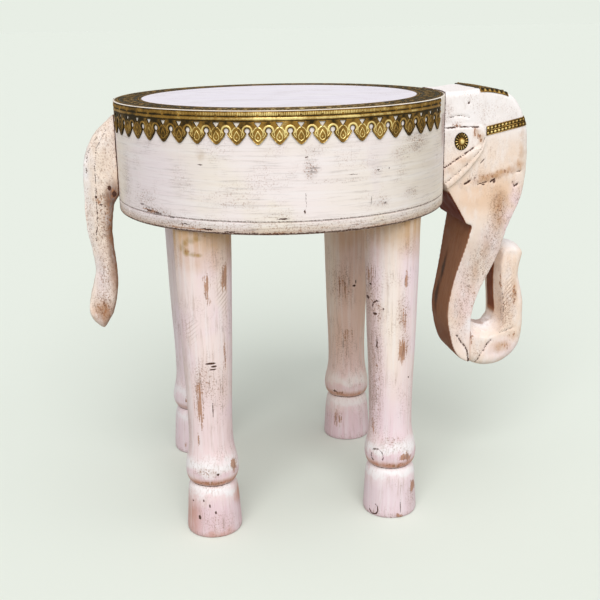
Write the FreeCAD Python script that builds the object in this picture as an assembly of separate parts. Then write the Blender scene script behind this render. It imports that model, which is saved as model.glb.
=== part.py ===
"""Elephant coffee table: a drum on four turned legs, with a carved head, trunk and tail and brass trim."""
import FreeCAD
import Part

import math
import os

Vec = FreeCAD.Vector
UP = Vec(0, 0, 1)
FULL_TURN = 360.0

# Millimetres. The origin is on the floor, on the drum's axis. The head is at +X, and +Z is up.

# Drum
table_height = 460.0
drum_radius = 181.3
top_thickness = 18.0
wall_height = 87.5
wall_thickness = 14.0
base_thickness = 13.0
base_groove = 1.5
top_board_count = 5
base_board_count = 3
course_count = 2
segment_count = 6
first_joint_angle = -92.0
course_stagger_angle = 20.0

# Legs, turned about their own upright axes
leg_direction_angle = 46.8
leg_top_radius = 30.0
shaft_mid_radius = 27.4
waist_radius = 23.7
waist_rise = 15.0
ankle_top_radius = 24.2
ankle_radius = 28.6
ankle_height = 38.0
neck_radius = 23.4
foot_height = 58.5
foot_radius = 30.4
foot_swell_radius = 28.5
foot_swell_height = 30.0
tenon_radius = 13.0
tenon_clearance = 0.1
tenon_wall_gap = 7.4
wedge_thickness = 3.0
wedge_depth = 24.0

# Crossed rails inside the drum
rail_width = 50.0
rail_thickness = 30.0
rail_end_clearance = 0.5
rail_screw_distances = (48.0, 108.0)
rail_screw_bite = 22.0

# Wood screws
screw_radius = 2.4
screw_head_radius = 5.0
screw_head_height = 2.8
body_screw_radius = 3.0
body_screw_head_radius = 6.0
body_screw_head_height = 3.0
body_screw_seat = 2.0
head_screw_bite = 38.0
head_screw_spread = 22.0
tail_screw_bite = 15.0

# Head and trunk
# Outline points are (reach out from the drum's side, height above the table top).
head_thickness = 90.0
head_corner_radius = 18.0
head_plan_margin = 3.0
head_edge_bevel = 4.0
trunk_thickness = 62.0
shoulder_height = -140.0
trunk_slim_height = -232.0
joint_reach = 40.0
joint_top = -268.5
joint_bottom = -322.0
nape = (-31.3, 1.2)
head_top = (-3.3, 1.3)
brow_line = ((18.7, 1.6), (32.7, 3.2), (44.7, 3.2), (56.7, 1.2), (67.7, -2.0), (77.2, -8.0), (86.0, -20.5),
             (94.0, -44.0), (97.1, -78.0))
trunk_front_line = ((92.0, -112.0), (74.1, -157.0), (69.8, -176.0), (62.3, -202.4), (50.8, -229.0))
trunk_back_line = ((24.7, -313.0), (12.7, -282.0), (9.9, -262.0), (13.1, -234.0), (21.3, -196.0))
trunk_root = (31.2, -150.0)
jaw_corner = (23.7, -147.0)
jaw_bend = (18.7, -138.5)
jaw_rear = (-31.3, -53.0)
head_core = (43.7, -70.0)

# Trunk curl
curl_tip_thickness = 48.0
curl_edge_round = 10.0
curl_heel = (55.7, -328.0)
curl_front_line = ((64.7, -329.4), (82.0, -325.2), (96.0, -315.5), (104.6, -301.0), (107.3, -283.0),
                   (107.5, -257.0), (105.2, -237.0), (101.4, -220.0), (103.3, -203.0))
curl_nose = (106.2, -183.0)
curl_tip = (94.0, -170.8)
curl_lip = (78.7, -176.0)
curl_inside_line = ((73.2, -205.0), (72.9, -222.0), (73.8, -240.0), (75.8, -262.0), (74.0, -277.0))
curl_seat = ((61.7, -281.5), (48.0, -277.5))
dowel_radius = 5.0
dowel_length = 28.0
dowel_heights = (-308.0, -294.0)
dowel_spread = 13.0

# Carved eye surround
eye_reach = 14.6
eye_height = -53.0
eye_field_relief = 2.0
eye_lid_relief = 4.5
eye_rear_top = (-21.3, -36.5)
eye_top = (37.7, -37.5)
eye_front = (43.2, -47.0)
eye_lid_front = (41.4, -61.0)
eye_lid_outer = (20.1, -89.0)
eye_lid_rear = (-6.9, -109.3)
eye_rear_bottom = (-21.3, -109.3)
eye_lid_inner_front = (31.7, -60.5)
eye_lid_inner_rear = (-21.3, -91.0)

# Tail
tail_thickness = 30.0
tail_edge_round = 7.0
tail_root_top = (-11.3, -5.0)
tail_root_bottom = (-11.3, -97.0)
tail_outer_line = ((4.7, -19.0), (24.3, -38.4), (35.7, -67.0), (37.0, -89.0), (36.4, -142.0),
                   (31.4, -188.0), (38.3, -215.0), (40.7, -226.0))
tail_tip = (26.3, -253.0)
tail_inner_line = ((15.1, -235.0), (8.3, -210.0), (9.3, -160.0), (8.5, -122.5), (3.7, -107.0))

# Brass sheet
brass_thickness = 0.8
brass_seat_gap = 0.1
ring_width = 29.0
ring_rim = 1.5
fringe_drop = 0.6
band_height = 9.4
pendant_width = 20.2
pendant_drop = 21.6
arch_thickness = 6.2
eyelet_radius = 2.4
pendant_lap = 0.1
pendant_gap = 1.6
pendant_fullness = 0.61
gusset_half_width = 3.4
gusset_drop = 0.8
gusset_depth = 5.0
fringe_head_angle = 32.5
fringe_tail_gap = 1.5
strip_width = 10.5
strip_start_reach = 43.7
strip_start_height = -43.0
strip_slope_angle = 12.0
crown_start_reach = 34.7
crown_length = 34.0
crown_side_margin = 5.0
rosette_radius = 9.8
rosette_rim = 2.2
rosette_thickness = 1.6

# Nails
nail_radius = 0.7
nail_head_radius = 1.7
nail_head_height = 0.9
nail_length = 9.0
fringe_nail_drop = 4.0
strip_nail_steps = (4.0, 22.0)
crown_nail_inset = 4.0
ring_nail_count = 24
eye_nail_head_radius = 4.6
eye_nail_head_height = 2.6
eye_nail_radius = 1.2
eye_nail_length = 16.0

# Derived places
wall_inner_radius = drum_radius - wall_thickness
top_underside = table_height - top_thickness
base_topside = top_underside - wall_height
leg_height = base_topside - base_thickness
course_height = wall_height / course_count
leg_circle = wall_inner_radius - tenon_wall_gap - tenon_radius
rail_topside = base_topside + rail_thickness
head_half = head_thickness / 2
trunk_half = trunk_thickness / 2
ring_outer_radius = drum_radius - ring_rim
ring_inner_radius = ring_outer_radius - ring_width
band_top = table_height - fringe_drop
band_bottom = band_top - band_height
upper_course_middle = top_underside - course_height / 2
lower_course_middle = base_topside + course_height / 2


def polar(radius, angle, height=0.0):
    """A point at a radius and an angle about the drum's axis."""
    turn = math.radians(angle)
    return Vec(radius * math.cos(turn), radius * math.sin(turn), height)


def disc(radius, low, high):
    return Part.makeCylinder(radius, high - low, Vec(0, 0, low))


def block(x, y, z):
    """A box between pairs of limits."""
    return Part.makeBox(x[1] - x[0], y[1] - y[0], z[1] - z[0], Vec(x[0], y[0], z[0]))


def turned(shape, angle):
    """A copy of the shape, turned about the drum's axis."""
    copy = shape.copy()
    copy.rotate(Vec(0, 0, 0), UP, angle)
    return copy


def joined(shapes):
    """One clean solid from overlapping solids."""
    whole = shapes[0].multiFuse(shapes[1:]).removeSplitter()
    return whole.Solids[0]


def curve(points, start=None, end=None):
    """A smooth edge through the points, with the directions at its ends where they are given."""
    spline = Part.BSplineCurve()
    if start is None:
        spline.interpolate(Points=points)
    else:
        spline.interpolate(Points=points, InitialTangent=start, FinalTangent=end)
    return spline.toShape()


def lines(points):
    return [Part.makeLine(a, b) for a, b in zip(points, points[1:])]


def spun(edges):
    """A solid of revolution about the Z axis, from edges in the XZ plane that start and end on the axis."""
    wire = Part.Wire(edges)
    closing = Part.makeLine(wire.OrderedVertexes[-1].Point, wire.OrderedVertexes[0].Point)
    return Part.Face(Part.Wire(edges + [closing])).revolve(Vec(0, 0, 0), UP, FULL_TURN)


def aimed(shape, place, direction):
    """A copy of a shape made along +Z, moved to a place and turned to a direction."""
    copy = shape.copy()
    copy.Placement = FreeCAD.Placement(place, FreeCAD.Rotation(UP, direction))
    return copy


def countersunk_screw(length):
    """A screw along +Z with its flat head's top at the origin."""
    profile = [Vec(0, 0, 0), Vec(screw_head_radius, 0, 0), Vec(screw_radius, 0, screw_head_height),
               Vec(screw_radius, 0, length - screw_radius), Vec(0, 0, length)]
    return spun(lines(profile))


def pan_screw(length):
    """A screw along +Z with the underside of its pan head at the origin."""
    profile = [Vec(0, 0, -body_screw_head_height), Vec(body_screw_head_radius, 0, -body_screw_head_height),
               Vec(body_screw_head_radius, 0, 0), Vec(body_screw_radius, 0, 0),
               Vec(body_screw_radius, 0, length - body_screw_radius), Vec(0, 0, length)]
    return spun(lines(profile))


def domed_nail(head_radius, head_height, shank_radius, length):
    """A nail along -Z with the underside of its domed head at the origin."""
    half_turn = math.radians(45)
    crown = Vec(0, 0, head_height)
    shoulder = Vec(head_radius * math.cos(half_turn), 0, head_height * math.sin(half_turn))
    rim = Vec(head_radius, 0, 0)
    shank = [rim, Vec(shank_radius, 0, 0), Vec(shank_radius, 0, shank_radius - length), Vec(0, 0, -length)]
    return spun([Part.Arc(crown, shoulder, rim).toShape()] + lines(shank))


def flat_nail():
    """A nail along -Z with its flat head's top at the origin."""
    profile = [Vec(0, 0, 0), Vec(nail_head_radius, 0, 0), Vec(nail_radius, 0, -nail_head_radius),
               Vec(nail_radius, 0, nail_radius - nail_length), Vec(0, 0, -nail_length)]
    return spun(lines(profile))


def from_head(point, y=0.0):
    """A place on the head or trunk, from its reach and its height above the table top."""
    return Vec(drum_radius + point[0], y, table_height + point[1])


def from_tail(point, y=0.0):
    return Vec(-drum_radius - point[0], y, table_height + point[1])


def slab(edges, thickness):
    """A slab of even thickness about the XZ plane, from a closed outline in that plane."""
    face = Part.Face(Part.Wire(edges))
    face.translate(Vec(0, -thickness / 2, 0))
    return face.extrude(Vec(0, thickness, 0))


def boards(whole, count, low, high):
    """Equal boards along X, cut from a round blank."""
    width = 2 * drum_radius / count
    cuts = []
    for number in range(count):
        edge = -drum_radius + number * width
        cuts.append(whole.common(block((-drum_radius, drum_radius), (edge, edge + width), (low, high))))
    return cuts


def base_blank():
    groove_floor = base_topside - base_groove
    rim = Part.makeCone(drum_radius, drum_radius - base_groove, base_groove, Vec(0, 0, groove_floor))
    return joined([disc(drum_radius, leg_height, groove_floor), rim])


def top_blank():
    blank = disc(drum_radius, top_underside, table_height)
    floor = table_height - brass_thickness
    rebate = disc(ring_outer_radius, floor, table_height).cut(disc(ring_inner_radius, floor, table_height))
    return blank.cut(rebate)


def wall_segment(course, number):
    low = base_topside + course * course_height
    span = FULL_TURN / segment_count
    start = first_joint_angle + course * course_stagger_angle + number * span
    outer = Part.makeCylinder(drum_radius, course_height, Vec(0, 0, low), UP, span)
    return turned(outer.cut(disc(wall_inner_radius, low, low + course_height)), start)


def leg_angles():
    names = {"front_right": -leg_direction_angle, "front_left": leg_direction_angle}
    names["rear_right"] = leg_direction_angle - FULL_TURN / 2
    names["rear_left"] = FULL_TURN / 2 - leg_direction_angle
    return names


def leg_blank():
    """A turned leg about the Z axis, with its tenon above the shoulder."""
    ankle_top = foot_height + ankle_height
    waist_height = ankle_top + waist_rise
    sole = Part.makeLine(Vec(0, 0, 0), Vec(foot_radius, 0, 0))
    foot = Part.Arc(Vec(foot_radius, 0, 0), Vec(foot_swell_radius, 0, foot_swell_height),
                    Vec(neck_radius, 0, foot_height))
    ankle = Part.Arc(Vec(neck_radius, 0, foot_height), Vec(ankle_radius, 0, foot_height + ankle_height / 2),
                     Vec(ankle_top_radius, 0, ankle_top))
    shaft = curve([Vec(ankle_top_radius, 0, ankle_top), Vec(waist_radius, 0, waist_height),
                   Vec(shaft_mid_radius, 0, (waist_height + leg_height) / 2),
                   Vec(leg_top_radius, 0, leg_height)])
    tenon = lines([Vec(leg_top_radius, 0, leg_height), Vec(tenon_radius, 0, leg_height),
                   Vec(tenon_radius, 0, rail_topside), Vec(0, 0, rail_topside)])
    return spun([sole, foot.toShape(), ankle.toShape(), shaft] + tenon)


def wedge_blank():
    """A tenon's wedge, which fills its saw cut across the tenon."""
    across = (-wedge_thickness / 2, wedge_thickness / 2)
    cut = block(across, (-tenon_radius, tenon_radius), (rail_topside - wedge_depth, rail_topside))
    return cut.common(disc(tenon_radius, leg_height, rail_topside))


def moved(shape, place):
    copy = shape.copy()
    copy.translate(place)
    return copy


def tenon_holes():
    hole = disc(tenon_radius + tenon_clearance, leg_height, rail_topside)
    return [moved(hole, polar(leg_circle, angle)) for angle in leg_angles().values()]


def rail_blank(angle, low, high):
    bar = block((-drum_radius, drum_radius), (-rail_width / 2, rail_width / 2), (low, high))
    return turned(bar, angle).common(disc(wall_inner_radius - rail_end_clearance, low, high))


def rails():
    """Two rails that cross on the drum's axis in a halving joint."""
    middle = base_topside + rail_thickness / 2
    right = rail_blank(-leg_direction_angle, base_topside, rail_topside)
    left = rail_blank(leg_direction_angle, base_topside, rail_topside)
    right_half = right.cut(rail_blank(leg_direction_angle, middle, rail_topside))
    left_half = left.cut(rail_blank(-leg_direction_angle, base_topside, middle))
    return {"rail_front_right_to_rear_left": right_half, "rail_front_left_to_rear_right": left_half}


def rail_screws():
    screw = countersunk_screw(base_thickness + rail_screw_bite)
    angles = leg_angles().values()
    return [moved(screw, polar(distance, angle, leg_height)) for angle in angles
            for distance in rail_screw_distances]


def body_screw(side, y, height, bite):
    """A screw from inside the drum, through the wall, into what hangs on its front or rear."""
    seat = math.sqrt(wall_inner_radius ** 2 - y ** 2) + body_screw_seat
    length = drum_radius - seat + bite
    return aimed(pan_screw(length), Vec(side * seat, y, height), Vec(side, 0, 0))


def head_screws():
    places = [(-head_screw_spread, upper_course_middle), (head_screw_spread, upper_course_middle)]
    places.append((0.0, lower_course_middle))
    return [body_screw(1, y, height, head_screw_bite) for y, height in places]


def tail_screws():
    heights = (upper_course_middle, lower_course_middle)
    return [body_screw(-1, 0.0, height, tail_screw_bite) for height in heights]


def grown(point, growth):
    """An outline point of the head, moved straight out from the head's middle."""
    out = Vec(point[0] - head_core[0], 0, point[1] - head_core[1]).normalize()
    return from_head((point[0] + growth * out.x, point[1] + growth * out.z))


def head_outline(growth=0.0):
    """The closed side outline of the head and trunk."""
    front = [from_head(head_top) + Vec(0, 0, growth)]
    front += [grown(point, growth) for point in brow_line]
    front += [from_head(point) for point in trunk_front_line]
    front.append(from_head((joint_reach, joint_top)))
    back = [from_head((joint_reach, joint_bottom))]
    back += [from_head(point) for point in trunk_back_line]
    back.append(from_head(trunk_root))
    jaw = [from_head(point) for point in (trunk_root, jaw_corner, jaw_bend, jaw_rear)]
    nape_top = from_head(nape) + Vec(0, 0, growth)
    edges = [curve(front), Part.makeLine(front[-1], back[0]), curve(back)] + lines(jaw)
    return edges + lines([jaw[-1], nape_top, front[0]])


def head_front(growth):
    """A long bar of the head's and trunk's front outline, along X."""
    half = head_half + growth
    shoulder = table_height + shoulder_height
    slim = table_height + trunk_slim_height
    top = table_height + head_thickness
    bottom = table_height + joint_bottom - head_thickness
    down = Vec(0, 0, -1)
    left = curve([Vec(0, half, shoulder), Vec(0, trunk_half, slim)], down, down)
    right = curve([Vec(0, -half, shoulder), Vec(0, -trunk_half, slim)], down, down)
    over = lines([Vec(0, -half, shoulder), Vec(0, -half, top), Vec(0, half, top), Vec(0, half, shoulder)])
    under = lines([Vec(0, trunk_half, slim), Vec(0, trunk_half, bottom), Vec(0, -trunk_half, bottom),
                   Vec(0, -trunk_half, slim)])
    face = Part.Face(Part.Wire(over + [left] + under + [right]))
    return face.extrude(Vec(2 * drum_radius, 0, 0))


def head_plan(growth):
    """A tall post of the head's plan, with its two front corners rounded."""
    front = drum_radius + max(point[0] for point in brow_line) + head_plan_margin + growth
    low = table_height + joint_bottom - head_thickness
    post = block((0, front), (-head_half - growth, head_half + growth), (low, table_height + head_thickness))
    corners = [edge for edge in post.Edges if is_upright(edge) and edge.CenterOfMass.x > front / 2]
    return post.makeFillet(head_corner_radius, corners)


def is_upright(edge):
    return edge.tangentAt(edge.FirstParameter).cross(UP).Length < 1e-6


def clear_of_drum(shape):
    return shape.cut(disc(drum_radius, 0, table_height + head_thickness)).Solids[0]


def head_slab(growth):
    """The side outline at full thickness, with the edges of the crown and brow bevelled."""
    half = head_half + growth
    wires = []
    for y, bevel in ((-half, head_edge_bevel), (head_edge_bevel - half, 0), (half - head_edge_bevel, 0),
                     (half, head_edge_bevel)):
        wire = Part.Wire(head_outline(growth - bevel))
        wire.translate(Vec(0, y, 0))
        wires.append(wire)
    return Part.makeLoft(wires, True, True)


def head_blank(growth=0.0):
    """The head and trunk before carving, or the same a little larger all round."""
    return clear_of_drum(head_slab(growth).common(head_front(growth)).common(head_plan(growth)))


def eye_lid_edge():
    """The lower lid's outer edge, from the front of the eye back to the drum."""
    return curve([from_head(point) for point in (eye_lid_front, eye_lid_outer, eye_lid_rear)])


def eye_relief(edges, relief):
    """A raised part of the eye surround, on both cheeks, kept inside the head's side outline."""
    raised = slab(edges, head_thickness + 2 * relief)
    return clear_of_drum(raised.common(slab(head_outline(), 2 * head_thickness)))


def eye_field():
    top = Part.Arc(from_head(eye_top), from_head(eye_front), from_head(eye_lid_front)).toShape()
    rear = lines([from_head(point) for point in (eye_lid_rear, eye_rear_bottom, eye_rear_top, eye_top)])
    return eye_relief([top, eye_lid_edge()] + rear, eye_field_relief)


def eye_lid():
    rear = lines([from_head(point) for point in (eye_lid_rear, eye_rear_bottom, eye_lid_inner_rear,
                                                 eye_lid_inner_front, eye_lid_front)])
    return eye_relief([eye_lid_edge()] + rear, eye_lid_relief)


def head_with_trunk(blank):
    return joined([blank, eye_field(), eye_lid()])


def curl_outline():
    heel = [from_head((joint_reach, joint_bottom)), from_head(curl_heel)]
    outside = heel + [from_head(point) for point in curl_front_line] + [from_head(curl_nose)]
    inside = [from_head(curl_lip)] + [from_head(point) for point in curl_inside_line]
    nose = Part.Arc(from_head(curl_nose), from_head(curl_tip), from_head(curl_lip)).toShape()
    seat = [inside[-1]] + [from_head(point) for point in curl_seat] + [from_head((joint_reach, joint_top)), heel[0]]
    return [curve(outside), nose, curve(inside)] + lines(seat)


def trunk_curl():
    """The upturned end of the trunk, narrower at its tip."""
    blank = slab(curl_outline(), trunk_thickness)
    low = table_height + curl_heel[1] - trunk_thickness
    waist = table_height + joint_top
    tip = table_height + curl_tip[1]
    reach = drum_radius + joint_reach
    half_tip = curl_tip_thickness / 2
    sides = [Vec(reach, -trunk_half, low), Vec(reach, trunk_half, low), Vec(reach, trunk_half, waist),
             Vec(reach, half_tip, tip), Vec(reach, -half_tip, tip), Vec(reach, -trunk_half, waist),
             Vec(reach, -trunk_half, low)]
    taper = Part.Face(Part.Wire(lines(sides))).extrude(Vec(drum_radius, 0, 0))
    shape = blank.common(taper).Solids[0]
    outer_reach = from_head(curl_lip).x
    outer_edges = [edge for edge in shape.Edges if abs(edge.CenterOfMass.y) > half_tip
                   and edge.CenterOfMass.x > outer_reach and edge.Length > trunk_thickness]
    return shape.makeFillet(curl_edge_round, outer_edges)


def curl_dowels():
    start = joint_reach - dowel_length / 2
    dowel = Part.makeCylinder(dowel_radius, dowel_length)
    ahead = Vec(1, 0, 0)
    return [aimed(dowel, from_head((start, height), side * dowel_spread), ahead)
            for side, height in zip((-1, 1), dowel_heights)]


def tail():
    outer = [from_tail(point) for point in (tail_root_top,) + tail_outer_line + (tail_tip,)]
    inner = [from_tail(point) for point in (tail_tip,) + tail_inner_line + (tail_root_bottom,)]
    blank = slab([curve(outer), curve(inner), Part.makeLine(inner[-1], outer[0])], tail_thickness)
    long_edges = [edge for edge in blank.Edges if abs(edge.CenterOfMass.y) > tail_thickness / 4
                  and edge.Length > tail_thickness * 4]
    return clear_of_drum(blank.makeFillet(tail_edge_round, long_edges))


def top_ring():
    floor = table_height - brass_thickness
    return disc(ring_outer_radius, floor, table_height).cut(disc(ring_inner_radius, floor, table_height))


def ring_nails():
    middle = (ring_inner_radius + ring_outer_radius) / 2
    step = FULL_TURN / ring_nail_count
    return [moved(flat_nail(), polar(middle, (number + 0.5) * step, table_height))
            for number in range(ring_nail_count)]


def pendant_pitch():
    return math.degrees(pendant_width / drum_radius)


def pendant_count():
    """Pendants on one flank, between the head's gap and the tail."""
    tail_angle = math.degrees(math.asin((tail_thickness / 2 + fringe_tail_gap) / drum_radius))
    return int((FULL_TURN / 2 - fringe_head_angle - tail_angle) / pendant_pitch())


def pendant():
    """One pierced bud of the fringe with its piece of band, facing +X, with half of an arch on each side."""
    half = drum_radius * math.tan(math.radians(pendant_pitch() / 2)) + pendant_lap
    arch = band_bottom - arch_thickness
    eyelet = arch - eyelet_radius
    neck = arch - 2 * eyelet_radius
    tip = Vec(0, 0, band_bottom - pendant_drop)
    edges = [Part.makeLine(Vec(0, -half, band_top), Vec(0, half, band_top))]
    for side in (1, -1):
        corner = Vec(0, side * half, band_top)
        crown = Vec(0, side * half, arch)
        waist = Vec(0, side * (half - pendant_gap / 2), neck)
        swell = Vec(0, side * half * pendant_fullness, (neck + tip.z) / 2)
        edges.append(Part.makeLine(corner, crown))
        edges.append(Part.Arc(crown, Vec(0, side * (half - eyelet_radius), eyelet), waist).toShape())
        edges.append(Part.Arc(waist, swell, tip).toShape())
    plate = Part.Face(Part.Wire(Part.__sortEdges__(edges)))
    top = band_bottom - gusset_drop
    gusset = lines([Vec(0, -gusset_half_width, top), Vec(0, gusset_half_width, top),
                    Vec(0, 0, top - gusset_depth), Vec(0, -gusset_half_width, top)])
    pierced = plate.cut(Part.Face(Part.Wire(gusset))).extrude(Vec(2 * drum_radius, 0, 0))
    skin = disc(drum_radius + brass_thickness, tip.z, band_top).cut(disc(drum_radius, tip.z, band_top))
    return pierced.common(skin).cut(fringe_nail(0.0)).Solids[0]


def pendant_angles():
    """Where the pendants of the left flank hang, from the head's side back to the tail's."""
    return [fringe_head_angle + (number + 0.5) * pendant_pitch() for number in range(pendant_count())]


def fringe_left():
    bud = pendant()
    return joined([turned(bud, angle) for angle in pendant_angles()])


def mirrored(shape):
    """The same piece on the right flank."""
    return shape.mirror(Vec(0, 0, 0), Vec(0, 1, 0))


def fringe_nail(angle):
    nail = domed_nail(nail_head_radius, nail_head_height, nail_radius, nail_length)
    place = polar(drum_radius + brass_thickness, angle, band_top - fringe_nail_drop)
    return aimed(nail, place, polar(1, angle))


def fringe_nails():
    return [fringe_nail(side * angle) for side in (1, -1) for angle in pendant_angles()]


def forehead_strip(skin):
    length = 2 * drum_radius
    bar = block((0, length), (-head_thickness, head_thickness), (-strip_width / 2, strip_width / 2))
    bar.rotate(Vec(0, 0, 0), Vec(0, 1, 0), -strip_slope_angle)
    start = drum_radius + strip_start_reach
    ahead = block((start, start + length), (-head_thickness, head_thickness), (0, 2 * table_height))
    strip = moved(bar, from_head((strip_start_reach, strip_start_height))).common(ahead).common(skin)
    return strip.Solids[0]


def crown_plate(skin):
    start = drum_radius + crown_start_reach
    half = head_half - crown_side_margin
    return skin.common(block((start, start + crown_length), (-half, half),
                             (table_height - crown_length, 2 * table_height))).Solids[0]


def strip_nails():
    nail = domed_nail(nail_head_radius, nail_head_height, nail_radius, nail_length)
    slope = math.tan(math.radians(strip_slope_angle))
    nails = []
    for side in (1, -1):
        for along in strip_nail_steps:
            place = from_head((strip_start_reach + along, strip_start_height + along * slope))
            place.y = side * (head_half + brass_seat_gap + brass_thickness)
            nails.append(aimed(nail, place, Vec(0, side, 0)))
    return nails


def crown_nails(plate):
    """Nails at the crown plate's corners, square to its curve."""
    nail = domed_nail(nail_head_radius, nail_head_height, nail_radius, nail_length)
    start = drum_radius + crown_start_reach
    half = head_half - crown_side_margin
    nails = []
    for x in (start + crown_nail_inset, start + crown_length - crown_nail_inset):
        for y in (crown_nail_inset - half, half - crown_nail_inset):
            slope = height_over(plate, x + 1, y) - height_over(plate, x - 1, y)
            nails.append(aimed(nail, Vec(x, y, height_over(plate, x, y)), Vec(-slope / 2, 0, 1)))
    return nails


def height_over(solid, x, y):
    """How high the solid reaches above a point of the floor."""
    return Part.makeLine(Vec(x, y, 0), Vec(x, y, 2 * table_height)).common(solid).BoundBox.ZMax


def eye_rosettes():
    """A dished disc with a raised rim for each cheek, aimed along its outward direction."""
    step = rosette_thickness / 2
    dish_radius = rosette_radius - rosette_rim
    profile = [Vec(0, 0, 0), Vec(rosette_radius, 0, 0), Vec(rosette_radius - step, 0, rosette_thickness),
               Vec(dish_radius, 0, rosette_thickness), Vec(dish_radius - step, 0, step), Vec(0, 0, step)]
    disc_shape = spun(lines(profile))
    nail = domed_nail(eye_nail_head_radius, eye_nail_head_height, eye_nail_radius, eye_nail_length)
    rosettes = {}
    nails = []
    for name, side in (("right", -1), ("left", 1)):
        outward = Vec(0, side, 0)
        seat = from_head((eye_reach, eye_height), side * (head_half + eye_field_relief))
        nails.append(aimed(nail, seat + outward * step, outward))
        rosettes["eye_rosette_" + name] = aimed(disc_shape, seat, outward).cut(nails[-1])
    return rosettes, nails


def drilled(shape, fasteners):
    """The shape with a hole for each fastener that reaches into it."""
    near = [fastener for fastener in fasteners if fastener.BoundBox.intersect(shape.BoundBox)]
    return shape.cut(Part.makeCompound(near)) if near else shape


def drum_nodes(fasteners):
    nodes = {}
    for number, board in enumerate(boards(top_blank(), top_board_count, top_underside, table_height)):
        nodes["top_board_%d" % (number + 1)] = drilled(board, fasteners)
    for course, name in enumerate(("lower", "upper")):
        for number in range(segment_count):
            segment = drilled(wall_segment(course, number), fasteners)
            nodes["wall_%s_segment_%d" % (name, number + 1)] = segment
    for number, board in enumerate(boards(base_blank(), base_board_count, leg_height, base_topside)):
        nodes["base_board_%d" % (number + 1)] = drilled(board, fasteners + tenon_holes())
    for name, rail in rails().items():
        nodes[name] = drilled(rail, fasteners + tenon_holes())
    return nodes


def leg_nodes():
    wedge = wedge_blank()
    leg = leg_blank().cut(wedge)
    nodes = {}
    wedges = []
    for name, angle in leg_angles().items():
        place = polar(leg_circle, angle)
        nodes["leg_" + name] = moved(turned(leg, angle), place)
        wedges.append(moved(turned(wedge, angle), place))
    nodes["leg_wedges"] = Part.makeCompound(wedges)
    return nodes


def all_nodes():
    blank = head_blank()
    skin = head_blank(brass_seat_gap + brass_thickness).cut(head_blank(brass_seat_gap))
    plate = crown_plate(skin)
    left_fringe = fringe_left()
    rosettes, eye_nails = eye_rosettes()
    small_nails = {"fringe_nails": fringe_nails(), "top_ring_nails": ring_nails(),
                   "head_trim_nails": strip_nails() + crown_nails(plate)}
    screws = {"rail_screws": rail_screws(), "head_screws": head_screws(), "tail_screws": tail_screws()}
    dowels = curl_dowels()
    groups = dict(small_nails, **screws, eye_nails=eye_nails, curl_dowels=dowels)
    fasteners = [fastener for group in groups.values() for fastener in group]
    nodes = drum_nodes(fasteners)
    nodes.update(leg_nodes())
    nodes["head_and_trunk"] = drilled(head_with_trunk(blank), fasteners)
    nodes["trunk_curl"] = drilled(trunk_curl(), dowels)
    nodes["tail"] = drilled(tail(), screws["tail_screws"])
    nodes["brass_top_ring"] = drilled(top_ring(), small_nails["top_ring_nails"])
    nodes["brass_fringe_left"] = left_fringe
    nodes["brass_fringe_right"] = mirrored(left_fringe)
    nodes["brass_forehead_strip"] = drilled(forehead_strip(skin), small_nails["head_trim_nails"])
    nodes["brass_crown_plate"] = drilled(plate, small_nails["head_trim_nails"])
    nodes.update(rosettes)
    nodes.update({name: Part.makeCompound(group) for name, group in groups.items()})
    return nodes


os.makedirs("parts", exist_ok=True)
for node, shape in all_nodes().items():
    shape.exportStep("parts/%s.step" % node)
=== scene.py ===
"""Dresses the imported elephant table: limewashed drum and legs, carved head and tail, embossed brass."""

import math
from functools import partial

import bmesh
import bpy
from bpy.props import FloatProperty, FloatVectorProperty, IntProperty, PointerProperty
from mathutils import Matrix, Vector, noise
from mathutils.bvhtree import BVHTree
from mathutils.geometry import intersect_point_line


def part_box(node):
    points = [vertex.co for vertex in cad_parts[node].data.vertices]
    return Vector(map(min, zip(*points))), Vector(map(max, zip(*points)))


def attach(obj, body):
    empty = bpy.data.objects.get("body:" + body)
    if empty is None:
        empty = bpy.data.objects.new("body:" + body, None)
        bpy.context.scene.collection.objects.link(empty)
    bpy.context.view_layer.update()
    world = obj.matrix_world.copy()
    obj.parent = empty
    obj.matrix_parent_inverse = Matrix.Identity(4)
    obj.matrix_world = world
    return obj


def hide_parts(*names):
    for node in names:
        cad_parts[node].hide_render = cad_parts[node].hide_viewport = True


bl_info = {
    "name": "Elephant Coffee Table",
    "version": (1, 0, 0),
    "blender": (4, 5, 0),
    "location": "View3D > Sidebar > Elephant Table",
    "description": "Builds the looks of a limewashed elephant table with brass trim",
    "category": "Object",
}

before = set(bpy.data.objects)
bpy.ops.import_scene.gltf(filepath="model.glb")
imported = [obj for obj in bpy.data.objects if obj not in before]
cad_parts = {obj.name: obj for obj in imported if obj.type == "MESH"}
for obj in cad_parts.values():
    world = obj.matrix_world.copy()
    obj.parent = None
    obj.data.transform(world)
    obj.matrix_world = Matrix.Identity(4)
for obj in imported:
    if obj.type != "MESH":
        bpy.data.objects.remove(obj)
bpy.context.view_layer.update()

# Metres. The origin is on the floor, on the drum's axis. The head is at +X, and +Z is up.
MM = 0.001
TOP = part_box("top_board_3")[1].z
TOP_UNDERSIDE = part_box("top_board_3")[0].z
DRUM_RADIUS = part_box("top_board_3")[1].x
BASE_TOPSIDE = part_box("base_board_2")[1].z
BASE_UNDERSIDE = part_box("base_board_2")[0].z
COURSE_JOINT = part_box("wall_lower_segment_1")[1].z
WALL_THICKNESS = 14 * MM
TOP_BOARDS = 5
BASE_BOARDS = 3
SEGMENTS = 6
FIRST_JOINT = math.radians(-92)
COURSE_STAGGER = math.radians(20)
SEGMENT_STEPS = 30
DISC_STEPS = 180
BASE_GROOVE = 1.5 * MM
SHARP_ANGLE = math.radians(38)

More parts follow.
